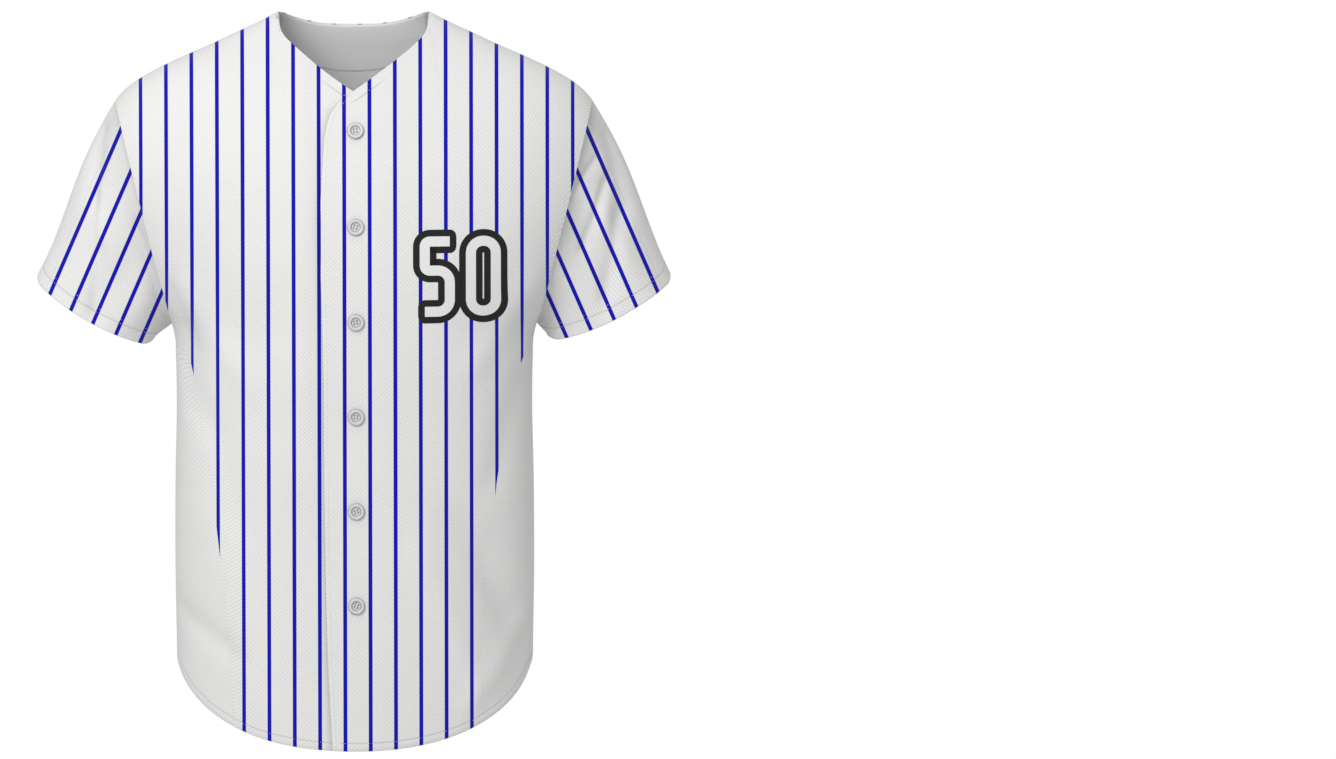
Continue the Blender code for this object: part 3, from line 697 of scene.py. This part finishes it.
# The pieces of cloth.
clothWall = dict(body=0.0012, facing=0.0003)
stripeCut = dict(
    frontPhase=-0.0107, backPhase=0.0065, sleevePhase=dict(left=0.1799, right=0.1800),
    sleeveLean=math.radians(23.5), half=0.00215, sleeveMargin=0.006, sleeveCrest=0.33,
    frontReach=0.2545,      # the fronts have no stripe beyond it
    closing=0.083)          # the nearer the cloth is, the closer its stripes: this share a metre
# how far each line of stitches is from its edge: the neck's are a little nearer than their groove
stitchAt = dict(hem=0.008, neck=0.0105, neckRow=0.0095, placket=0.0038, cuff=0.013, cuffOuter=0.0175,
                facing=0.004)
# where the fronts overlap: the layers' raise and sink, and the painted shadow on the under one beside the
# edge
lapCut = dict(raiseEnd=0.055, raiseFade=0.025, sinkEnd=0.058, sinkFade=0.022,
              paintedShadeAmount=0.30, paintedShadeWidth=0.0060, paintedShadeTopZ=-0.086)

middleLine = [(-0.8, 0.0), (0.0, 0.0)]
front = panelHalf(-1, bodyCut["frontNeck"], gridSteps["frontNeck"], bodyCut["frontSeam"], bodyCut["freeEdge"])
back = panelHalf(1, bodyCut["backNeck"], gridSteps["backNeck"], bodyCut["backSeam"], middleLine)
side = sidePanelGrid()
leftSide, rightSide = np.array([1, 1, 1]), np.array([-1, 1, 1])


def raisedBy(x):
    # the wearer's left front stands out where it laps over the other, and eases back beside it
    return bodyCut["layerRaise"] * smooth((lapCut["raiseEnd"] - x) / lapCut["raiseFade"])


frontRaise = raisedBy(front[..., 0])
frontSink = -bodyCut["layerSink"] * smooth((lapCut["sinkEnd"] - front[..., 0]) / lapCut["sinkFade"])


def stripePlace(grid, bow, phase):
    # the stripes' own coordinate, from x and the depth
    return grid[..., 0] / (1 + bow * grid[..., 1]) - phase + 10 * clothLook["stripeSpacing"]


def stripeWidth(guide):
    # half a stripe's width, less where the cloth turns to the side
    return stripeCut["half"] * (0.35 + 0.65 * np.sqrt(1 - guide[..., 0] ** 2))


def dressed(grid, flip, extra=0.0):
    # the grid with its folds, on the side that flip gives
    normal = bodyNormal(grid)
    return (grid * flip) + (normal * flip) * (foldHeight(grid * flip) + extra)[..., None]


def orientedNormal(grid, guide):
    # the grid's own normal, turned to the side of the guide
    normal = gridNormal(grid)
    return normal * np.sign((normal * guide).sum(-1, keepdims=True))


def pullIn(grid, lines):
    # a sewn edge stops just short of the seam line
    grid = grid.copy()
    gap = bodyCut["seamGap"]
    if "top" in lines:
        grid[0] += unit(grid[1] - grid[0]) * gap
    if "first" in lines:
        grid[:, 0] += unit(grid[:, 1] - grid[:, 0]) * gap
    if "last" in lines:
        grid[:, -1] += unit(grid[:, -2] - grid[:, -1]) * gap
    return grid


stitchLines = {}
upperRows = gridSteps["upper"]
# how far the sleeve sinks beside the armhole, over what width, and how strong the painted shade there is
armholeSink = dict(left=(0.0034, 0.014, 0.36), right=(0.0016, 0.006, 0.22), paintedShadeWidth=0.021)
for name, flip, extra in (("left", leftSide, frontRaise), ("right", rightSide, frontSink)):
    # front
    outer = dressed(front, flip, extra)
    guide = bodyNormal(front) * flip
    neckColumns = gridSteps["frontNeck"] + 1
    toHem = distanceTo(outer, outer[-1])
    toNeck = distanceTo(outer, outer[0, :neckColumns])
    toFree = distanceTo(outer, outer[:, 0])
    values = dict(
        run=grainRun(outer, upperRows, flip[0]),
        stripe=stripePlace(outer, stripeCut["closing"], stripeCut["frontPhase"]),
        stripeHalf=stripeWidth(guide) * (np.abs(outer[..., 0]) < stripeCut["frontReach"]),
        edgeMark=np.minimum(np.minimum(toHem / stitchAt["hem"], toNeck / stitchAt["neck"]),
                            toFree / stitchAt["placket"]))
    # the stitching shows at the V's foot and not round the neck, and a fifth as much along the placket
    fade = np.where(toNeck < 0.020, smooth((outer[..., 2] + 0.080) / 0.016), 0.0)
    values["grooveFade"] = np.maximum(fade, np.where(toFree < 0.008, 0.8, 0))
    if name == "right":
        # the under layer gets a painted shadow along the edge that laps over it
        overlap = curveThrough(bodyCut["freeEdge"], outer[..., 2]) - outer[..., 0]
        paintedLapShadow = lapCut["paintedShadeAmount"] * np.exp(-(np.maximum(overlap, 0) / lapCut["paintedShadeWidth"]) ** 2)
        values["lapMark"] = paintedLapShadow * smooth((lapCut["paintedShadeTopZ"] - outer[..., 2]) / 0.02)
    outer = pullIn(outer, ("last",))
    normal = orientedNormal(outer, guide)
    piece = clothPiece("frontPanel_" + name, outer, normal, clothWall["body"], values,
                       ("top", "bottom", "first"), [stripedKnit, insideKnit])
    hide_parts("front_" + name)
    stitchLines["front_" + name] = (outer, normal)

    # side panel
    outer = dressed(side, flip)
    guide = bodyNormal(side) * flip
    values = dict(run=grainRun(outer, gridSteps["lower"] // 2, flip[0]),
                  edgeMark=distanceTo(outer, outer[-1]) / stitchAt["hem"])
    outer = pullIn(outer, ("top", "first", "last"))
    normal = orientedNormal(outer, guide)
    piece = clothPiece("sidePanel_" + name, outer, normal, clothWall["body"], values,
                       ("bottom",), [plainKnit, insideKnit])
    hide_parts("side_panel_" + name)
    stitchLines["side_" + name] = (outer, normal)

    # sleeve, from under the arm round the front to under the arm again
    split = upperRows + gridSteps["side"] // 2
    ringBase = np.concatenate([front[: upperRows + 1, -1], side[0, 1:-1], back[upperRows::-1, -1]])
    ringNormal = bodyNormal(ringBase)
    ring = ringBase + ringNormal * foldHeight(ringBase * flip)[:, None]
    grid, normal = sleeveGrid(sleeveCut[name], ring, ringNormal, split)
    # beside the armhole the sleeve sinks by sink * x * exp(1 - x), with x in sinkWidth. The creases
    # fade at the armhole.
    fromArmhole = distanceTo(grid, grid[0])
    sink, sinkWidth, paintedShadeAmount = armholeSink[name]
    x = fromArmhole / sinkWidth
    rise = -sink * x * np.exp(1 - x) * smooth(np.abs(grid[..., 1]) / 0.03)
    for *line, height in sleeveCreases[name]:
        fade = smooth(fromArmhole / 0.012) * smooth(-grid[..., 1] / 0.02)
        rise = rise + height * fade * beside(grid[..., 0], grid[..., 2], *line)
    grid = grid + normal * rise[..., None]
    normal = closedNormal(grid)
    # roll the columns so that the seam of the tube lies under the arm
    grid = np.concatenate([grid[:, split:-1], grid[:, : split + 1]], axis=1)
    normal = np.concatenate([normal[:, split:-1], normal[:, : split + 1]], axis=1)
    lean = stripeCut["sleeveLean"]
    across = grid[..., 0] * math.cos(lean) + grid[..., 2] * math.sin(lean)
    first = stripeCut["sleevePhase"][name]
    spacing = clothLook["stripeSpacing"]
    margin = stripeCut["sleeveMargin"]
    stripe = np.where(grid[..., 1] < 0, across, 2 * first + 2 * spacing - across)
    lower, upper = first + margin, first + 2 * spacing - margin
    top = across > lower
    stripeHalf = np.full(grid.shape[:2], stripeCut["half"])
    # over the top the print runs on by the distance round the sleeve, with one stripe just behind the crest
    around = runOf(grid, 1)
    for row in range(grid.shape[0]):
        on = np.where(top[row])[0]
        if len(on) < 3:
            continue
        reach = around[row, on[-1]] - around[row, on[0]]
        share = (around[row, on] - around[row, on[0]]) / reach
        crest = stripeCut["sleeveCrest"]
        stripe[row, on] = np.interp(share, [0, crest, 1], [lower, first + spacing, upper])
        stripeHalf[row, on] *= (upper - lower) / reach
    values = dict(
        run=grainRun(grid, -1, flip[0]),
        stripe=stripe - first + 20 * spacing,
        stripeHalf=stripeHalf,
        edgeMark=distanceTo(grid, grid[-1]) / stitchAt["cuff"])
    # under the body's edge the sleeve gets painted shade, on the front only
    paintedArmholeShade = np.exp(-(distanceTo(grid, grid[0]) / armholeSink["paintedShadeWidth"]) ** 2)
    values["lapMark"] = paintedShadeAmount * paintedArmholeShade * smooth(-grid[..., 1] / 0.03)
    grid = pullIn(grid, ("top",))
    piece = clothPiece("sleeve_" + name + "_cloth", grid * flip, normal * flip, clothWall["body"], values,
                       ("bottom",), [stripedKnit, insideKnit])
    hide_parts("sleeve_" + name)
    stitchLines["sleeve_" + name] = (grid * flip, normal * flip)
print("fronts, side panels and sleeves made")

# the back, both halves in one piece
outer = np.concatenate([dressed(back, rightSide)[:, :0:-1], dressed(back, leftSide)], axis=1)
guide = bodyNormal(back)
guide = np.concatenate([(guide * rightSide)[:, :0:-1], guide], axis=1)
values = dict(
    run=grainRun(outer, upperRows),
    stripe=stripePlace(outer, -stripeCut["closing"], stripeCut["backPhase"]),
    stripeHalf=stripeWidth(guide),
    edgeMark=distanceTo(outer, outer[-1]) / stitchAt["hem"])
outer = pullIn(outer, ("first", "last"))
normal = orientedNormal(outer, guide)
piece = clothPiece("backPanel", outer, normal, clothWall["body"], values,
                   ("top", "bottom"), [stripedBackKnit, insideKnit])
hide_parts("back")
stitchLines["back"] = (outer, normal)
print("back made")

# the half-moon facing inside the back of the neck
facingCut = dict(halfWidth=0.0795, low=-0.069, curve=3.2, depthIn=0.00125,
                 stitchLow=-0.0395, stitchCurve=2.2, stitchReach=0.070)
acrossX = np.linspace(-facingCut["halfWidth"], facingCut["halfWidth"], 61)
neck = np.array(bodyCut["backNeck"])
run = np.linspace(0, 1, 80)
edgeZ = np.interp(np.abs(acrossX), curveThrough(neck[:, [0, 1]], run), curveThrough(neck[:, [0, 2]], run))
topZ = edgeZ - 0.0010
lowZ = facingCut["low"] + facingCut["curve"] * acrossX ** 2
q = np.linspace(0, 1, 25)[:, None]
grid = bodyPoint(acrossX, topZ + (lowZ - topZ) * q, 1)
guide = bodyNormal(grid)
grid = grid - guide * facingCut["depthIn"]
values = dict(run=grainRun(grid, 0), edgeMark=distanceTo(grid, grid[-1]) / stitchAt["facing"])
facing = clothPiece("neckFacing", grid, guide, clothWall["facing"], values,
                    ("top", "bottom", "first", "last"), [insideKnit, insideKnit])
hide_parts("back_neck_facing")
print("neck facing made")


# Stitches.

def stitchRow(lines, length, gap, thick, lift):
    # a small spindle for each stitch: two tips and a ring of four between them, laid along the line
    points, faces = [], []
    start = 0
    for line, normal in lines:
        run = runOf(line, 0)
        at = np.arange(gap, run[-1] - length, length + gap)
        if not len(at):
            continue
        spot = [np.stack([np.interp(at + shift, run, line[:, i]) for i in range(3)], axis=-1)
                for shift in (0, length / 2, length)]
        up = unit(np.stack([np.interp(at + length / 2, run, normal[:, i]) for i in range(3)], axis=-1))
        along = unit(spot[2] - spot[0])
        sideways = unit(np.cross(up, along))
        centre = spot[1] + up * lift
        ring = [centre + up * thick / 2, centre + sideways * thick / 2,
                centre - up * thick / 2, centre - sideways * thick / 2]
        tip = up * (lift - thick * 0.4)
        block = np.stack([spot[0] + tip, *ring, spot[2] + tip], axis=1)
        points.append(block.reshape(-1, 3))
        base = start + 6 * np.arange(len(at))[:, None]
        for tri in ((0, 2, 1), (0, 3, 2), (0, 4, 3), (0, 1, 4), (5, 1, 2), (5, 2, 3), (5, 3, 4), (5, 4, 1)):
            faces.append(base + np.array(tri))
        start += 6 * len(at)
    return np.concatenate(points), np.concatenate(faces)


def levelLine(key, distance):
    # the line on a piece's grid that keeps a distance from its last row, found along each column
    grid, normal = stitchLines[key]
    run = runOf(grid, 0)
    run = run[-1] - run
    points, normals = [], []
    for c in range(grid.shape[1]):
        order = np.argsort(run[:, c])
        points.append([np.interp(distance, run[order, c], grid[order, c, i]) for i in range(3)])
        normals.append([np.interp(distance, run[order, c], normal[order, c, i]) for i in range(3)])
    return np.array(points), np.array(normals)


stitchSize = dict(length=0.0026, gap=0.0011, thick=0.00045, lift=0.00010)
hemRows = [levelLine(key, stitchAt["hem"])
           for key in ("front_left", "front_right", "side_left", "side_right", "back")]
cuffRows = [levelLine(key, stitchAt[row])
            for key in ("sleeve_left", "sleeve_right") for row in ("cuff", "cuffOuter")]


def insetLine(line, distance, flip):
    # each point of an edge goes into the cloth, square to the edge and in its surface, and is put
    # back on the form
    along = unit(np.gradient(line, axis=0))
    inwards = np.cross(bodyNormal(line - np.array([0, 1e-6, 0])), along)
    centre = np.array([0.15, line[:, 1].mean(), -0.30])
    inwards = inwards * np.sign((inwards * (centre - line)).sum(-1, keepdims=True))
    moved = line + inwards * distance
    moved = bodyPoint(moved[:, 0], moved[:, 2], -1)
    # the overlap's raise depends on x alone, so any full row of the front gives it
    layer = frontRaise if flip[0] > 0 else frontSink
    extra = np.interp(moved[:, 0], front[40, :, 0], layer[40])
    return dressed(moved, flip, extra), bodyNormal(moved) * flip


neckRows = []
edgeLine = front[0, : gridSteps["frontNeck"] + 1]
for flip in (leftSide, rightSide):
    line, normal = insetLine(edgeLine[1:], stitchAt["neckRow"], flip)
    keep = (line[:, 0] * flip[0] > -0.004) & (line[:, 2] < -0.070)
    neckRows.append((line[keep], normal[keep]))
neckRows.append(insetLine(front[6:, 0], stitchAt["placket"], leftSide))
# the facing is stitched down along a curve of its own, seen on the inside
stitchX = np.linspace(-facingCut["stitchReach"], facingCut["stitchReach"], 120)
line = bodyPoint(stitchX, facingCut["stitchLow"] + facingCut["stitchCurve"] * stitchX ** 2, 1)
guide = bodyNormal(line)
neckRows.append((line - guide * (facingCut["depthIn"] + clothWall["facing"]), -guide))
for name, rows in (("hemStitches", hemRows), ("cuffStitches", cuffRows),
                   ("neckAndPlacketStitches", neckRows)):
    piece = plainPiece(name, *stitchRow(rows, **stitchSize), [whiteThread])
print("stitches made")

# Buttons.
buttonCut = dict(radius=0.009, firstZ=-0.1245, pitch=0.102, x=0.0016, rimTop=0.0034, edgeFall=0.001344,
                 dish=0.0015, holeRadius=0.00095, holeOffset=0.001512, holeDepth=0.0014,
                 threadRadius=0.00022, threadApart=0.00018,
                 turns=[0.10, -0.35, 0.22, -0.15, 0.40, -0.28])     # none is sewn on quite straight


def buttonHeight(r, angle):
    # across the face: a dish, a round rim, then the edge falls away; four holes are sunk in the dish
    c = buttonCut
    share = r / c["radius"]
    rim = c["rimTop"] - c["edgeFall"] * (np.clip(share - 0.84, 0, 1) / 0.16) ** 2
    face = c["dish"] + (rim - c["dish"]) * smooth((share - 0.46) / 0.24)
    x, y = r * np.cos(angle), r * np.sin(angle)
    for sx in (-1, 1):
        for sy in (-1, 1):
            d = np.hypot(x - sx * c["holeOffset"], y - sy * c["holeOffset"])
            face = face - c["holeDepth"] * smooth((c["holeRadius"] + 0.00012 - d) / 0.00028)
    return face


def buttonMesh():
    # a polar grid for the face, then the side and the flat back as further rings
    c = buttonCut
    turns = 72
    angle = np.linspace(0, 2 * math.pi, turns, endpoint=False)
    r = np.concatenate([np.linspace(0.0002, 0.0032, 25), np.linspace(0.0036, c["radius"], 16)])[:, None]
    face = np.broadcast_arrays(r * np.cos(angle), r * np.sin(angle), buttonHeight(r, angle))
    rings = [np.stack(face, axis=-1)]
    for share, z in ((1.0, 0.0012), (0.97, 0.0005), (0.90, 0.0), (0.45, 0.0)):
        radius = c["radius"] * share
        ring = np.stack([radius * np.cos(angle), radius * np.sin(angle), np.full(turns, z)], axis=-1)
        rings.append(ring[None])
    grid = np.concatenate(rings)
    rows = len(grid)
    index = np.arange(rows * turns).reshape(rows, turns)
    index = np.concatenate([index, index[:, :1]], axis=1)
    points = np.concatenate([grid.reshape(-1, 3), [[0, 0, float(buttonHeight(0.0, 0.0))], [0, 0, 0]]])
    top, bottom = rows * turns, rows * turns + 1
    caps = [[top, a, b] for a, b in zip(index[0, :-1], index[0, 1:])]
    caps += [[bottom, b, a] for a, b in zip(index[-1, :-1], index[-1, 1:])]
    return points, gridFaces(index).tolist() + caps


def threadMesh():
    # two loops of thread, each a tube bowed over the bar between two holes: z = top * sin(pi t)
    c = buttonCut
    spread = c["holeOffset"]
    tubes, faces, start = [], [], 0
    ringAngle = np.linspace(0, 2 * math.pi, 8, endpoint=False)
    t = np.linspace(0, 1, 13)
    for y in (-spread, spread):
        for nudge in (-c["threadApart"], c["threadApart"]):
            centre = np.stack([-spread + 2 * spread * t, np.full(13, y + nudge),
                               c["dish"] - 0.0006 + 0.0011 * np.sin(math.pi * t)], axis=-1)
            along = unit(np.gradient(centre, axis=0))
            sideways = np.tile([0.0, 1.0, 0.0], (13, 1))
            up = np.cross(along, sideways)
            tube = (centre[:, None] + c["threadRadius"] * (sideways[:, None] * np.cos(ringAngle)[:, None]
                                                           + up[:, None] * np.sin(ringAngle)[:, None]))
            index = np.arange(13 * 8).reshape(13, 8) + start
            index = np.concatenate([index, index[:, :1]], axis=1)
            faces.append(gridFaces(index)[:, [0, 3, 2, 1]])
            tubes.append(tube.reshape(-1, 3))
            start += 13 * 8
    return np.concatenate(tubes), np.concatenate(faces).tolist()


buttonPoints, buttonFaces = buttonMesh()
threadPoints, threadFaces = threadMesh()
faceShare = np.hypot(buttonPoints[:, 0], buttonPoints[:, 1]) / buttonCut["radius"]
sunk = buttonPoints[:, 2] < buttonCut["dish"] - 0.0003
# painted shade on the button: in the dish's corner, at its edge and in its holes
buttonPaintedShade = (0.85 * np.exp(-((faceShare - 0.53) / 0.07) ** 2) + 0.90 * smooth((faceShare - 0.88) / 0.10)
                + 0.85 * (sunk & (faceShare < 0.5)))
buttonPaintedShade = np.concatenate([buttonPaintedShade, np.zeros(len(threadPoints))]).astype(np.float32)
buttonSlots = [0] * len(buttonFaces) + [1] * len(threadFaces)
buttonFaces = buttonFaces + [[i + len(buttonPoints) for i in face] for face in threadFaces]
buttonPoints = np.concatenate([buttonPoints, threadPoints])
for number, turn in enumerate(buttonCut["turns"]):
    z = np.array([buttonCut["firstZ"] - buttonCut["pitch"] * number])
    seat = bodyPoint(np.array([buttonCut["x"]]), z, -1)
    out = bodyNormal(seat)[0]
    centre = seat[0] + out * (bodyCut["layerRaise"] + 0.0003)
    right = unit(np.cross(np.array([0.0, 0.0, 1.0]), out) * -1)
    up = np.cross(out, right)
    xAxis = right * math.cos(turn) + up * math.sin(turn)
    yAxis = np.cross(out, xAxis)
    turned = np.stack([xAxis, yAxis, out])
    piece = plainPiece("pearlButton_%d" % (number + 1), buttonPoints @ turned + centre, buttonFaces,
                       [buttonResin, whiteThread], buttonSlots)
    piece.data.attributes.new("hollow", "FLOAT", "POINT").data.foreach_set("value", buttonPaintedShade)
    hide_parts("button_%d" % (number + 1))
print("buttons made")


# The player's number.

def roundedPath(corners, radius, closed):
    # straight runs joined by quarter arcs at the corners
    points = []
    count = len(corners)
    corners = [np.array(c, float) for c in corners]
    for i, corner in enumerate(corners):
        if not closed and i in (0, count - 1):
            points.append(corner[None])
            continue
        before, after = corners[i - 1], corners[(i + 1) % count]
        a, b = unit(before - corner), unit(after - corner)
        r = radius[i] if isinstance(radius, list) else radius
        centre = corner + (a + b) * r
        start, end = corner + a * r, corner + b * r
        t = np.linspace(0, math.pi / 2, 13)[:, None]
        points.append(centre + (start - centre) * np.cos(t) + (end - centre) * np.sin(t))
    path = np.concatenate(points)
    return np.concatenate([path, path[:1]]) if closed else path


def resample(path, step):
    # the path in even steps
    run = runOf(path, 0)
    at = np.linspace(0, run[-1], max(int(run[-1] / step), 4) + 1)
    return np.stack([np.interp(at, run, path[:, i]) for i in range(2)], axis=-1)


def numberBand(path, width, closed, place, sideOfBody, lift):
    # a band along a path in the flat, then laid on the cloth at x and z. Its width is the whole
    # width, and how far it stands past an open path's ends.
    path = resample(path, 0.001)
    along = unit(np.gradient(path, axis=0))
    if closed:
        along[0] = along[-1] = unit(path[1] - path[-2])
    else:
        grow = np.linspace(1, 0, 8)[:-1, None] * max(width[1], 1e-5)
        path = np.concatenate([path[0] - along[0] * grow, path, path[-1] + along[-1] * grow[::-1]])
        along = unit(np.gradient(path, axis=0))
    normal = np.stack([-along[:, 1], along[:, 0]], axis=-1)
    share = np.linspace(-0.5, 0.5, 9)[:, None]
    wide = np.full(len(path), width[0])
    if not closed and width[1] > 0:
        # the outline's ends are rounded at their corners by the outline's own width
        run = runOf(path, 0)
        toEnd = np.clip(np.minimum(run, run[-1] - run), 0, width[1])
        wide = wide - 2 * (width[1] - np.sqrt(width[1] ** 2 - (width[1] - toEnd) ** 2))
    flat = path[:, None] + normal[:, None] * share * wide[:, None, None]
    x = place[0] + flat[..., 0]
    z = place[1] + flat[..., 1]
    base = bodyPoint(x, z, sideOfBody)
    rise = foldHeight(base) + lift
    if sideOfBody < 0:
        rise = rise + raisedBy(x)
    points = base + bodyNormal(base) * rise[..., None]
    rows, columns = points.shape[:2]
    index = np.arange(rows * columns).reshape(rows, columns)
    quads = gridFaces(index)
    corner = points.reshape(-1, 3)[quads]
    facesOut = np.cross(corner[:, 1] - corner[:, 0], corner[:, 3] - corner[:, 0]).sum(axis=0)[1] * sideOfBody
    if facesOut < 0:
        quads = quads[:, ::-1]
    return points.reshape(-1, 3), quads


# A plain block number of this maker's own drawing: a five and a nought, each one stroke.
numberCut = dict(
    front=dict(x=0.0629, z=-0.2295, wide=0.0520, high=0.1007, gap=-0.0025, stroke=0.0108,
               outline=0.0072, side=-1),
    back=dict(x=0.0925, z=-0.2295, wide=0.0965, high=0.188, gap=-0.0030, stroke=0.0230,
              outline=0.0080, side=1),
)
inkLift = dict(outline=0.00018, fill=0.00034)
for where, c in numberCut.items():
    w, h, s = c["wide"], c["high"], c["stroke"]
    inset = s / 2 + c["outline"]
    bowl = (w - 2 * inset) * 0.5
    digits = [
        ([(w - inset, h - inset), (inset, h - inset), (inset, h * 0.565), (w - inset, h * 0.565),
          (w - inset, inset), (inset, inset)], [0, s * 0.5, s * 0.5, bowl * 0.95, bowl * 0.95, 0], False),
        ([(inset, inset), (inset, h - inset), (w - inset, h - inset), (w - inset, inset)], bowl * 0.95, True),
    ]
    # seen from outside, the number runs to the right: towards +X on the front, -X on the back
    turn = -c["side"]
    for key, grow, ink in (("outline", c["outline"], inkDark), ("fill", 0.0, inkLight)):
        many, faces, start = [], [], 0
        for d, (corners, radius, closed) in enumerate(digits):
            path = roundedPath(corners, radius, closed) * np.array([turn, 1])
            place = (c["x"] + turn * d * (w + c["gap"]), c["z"] - h)
            points, quads = numberBand(path, (s + 2 * grow, grow), closed, place, c["side"], inkLift[key])
            many.append(points)
            faces.append(quads + start)
            start += len(points)
        piece = plainPiece(where + "Number_" + key, np.concatenate(many), np.concatenate(faces), [ink])
print("numbers made")

# Stage, light and camera.
stageCut = dict(floorZ=-1.6, size=7.0, ambient=0.63)
floorMesh = bpy.data.meshes.new("paleFloor")
edge = stageCut["size"] / 2
floorCorners = [(x * edge, y * edge, stageCut["floorZ"]) for x, y in ((-1, -1), (1, -1), (1, 1), (-1, 1))]
floorMesh.from_pydata(floorCorners, [], [(0, 1, 2, 3)])
floor = bpy.data.objects.new("paleFloor", floorMesh)
bpy.context.scene.collection.objects.link(floor)
floorMaterial, tree, shader = newMaterial("painted studio floor")
setInputs(tree, shader, {"Base Color": hexColour("#f2f2f2"), "Roughness": 0.8})
floorMesh.materials.append(floorMaterial)

world = bpy.data.worlds.new("softStudio")
bpy.context.scene.world = world
world.use_nodes = True
# the camera sees a white backdrop, and the cloth is lit by a dimmer one, so that its folds show
tree = world.node_tree
ambient = tree.nodes["Background"]
setInputs(tree, ambient, ((1.0, 1.0, 1.0, 1.0), stageCut["ambient"]))
seen = addNode(tree, "ShaderNodeLightPath", output="Is Camera Ray")
backdrop = addNode(tree, "ShaderNodeBackground", ((1.0, 1.0, 1.0, 1.0), 1.0))
either = addNode(tree, "ShaderNodeMixShader", (seen, ambient.outputs[0], backdrop))
setInputs(tree, tree.nodes["World Output"], (either,))


def aimed(name, data, place, at):
    # a lamp or camera at a place, looking at a point
    holder = bpy.data.objects.new(name, data)
    holder.location = place
    holder.rotation_mode = "QUATERNION"
    holder.rotation_quaternion = (Vector(at) - Vector(place)).to_track_quat("-Z", "Y")
    bpy.context.scene.collection.objects.link(holder)
    return holder


lightRows = [
    # name, place, aimed at, size, watts
    ("keyLight", (-0.95, -2.25, 0.95), (0.0, 0.0, -0.30), 1.2, 40.0),
    ("topLight", (0.1, -1.0, 2.1), (0.0, 0.0, -0.2), 1.2, 9.0),
]
for name, place, aim, size, watts in lightRows:
    light = bpy.data.lights.new(name, "AREA")
    light.energy = watts
    light.size = size
    aimed(name, light, place, aim)

cameraCut = dict(
    lens=300.0, sensor=36.0, frameWidth=1336 * 0.001084, elevation=math.radians(4.5),
    aimX=0.3398, aimZ=-0.4005)
camera = bpy.data.cameras.new("frontCamera")
camera.lens = cameraCut["lens"]
camera.sensor_width = cameraCut["sensor"]
camera.clip_end = 80.0
distance = cameraCut["frameWidth"] * cameraCut["lens"] / cameraCut["sensor"]
place = (0.0, -distance * math.cos(cameraCut["elevation"]),
         cameraCut["aimZ"] + distance * math.sin(cameraCut["elevation"]))
bpy.context.scene.camera = aimed("frontCamera", camera, place, (cameraCut["aimX"], 0.0, cameraCut["aimZ"]))
bpy.context.scene.view_settings.view_transform = "Standard"
bpy.context.scene.view_settings.look = "None"
print("stage, light and camera set")
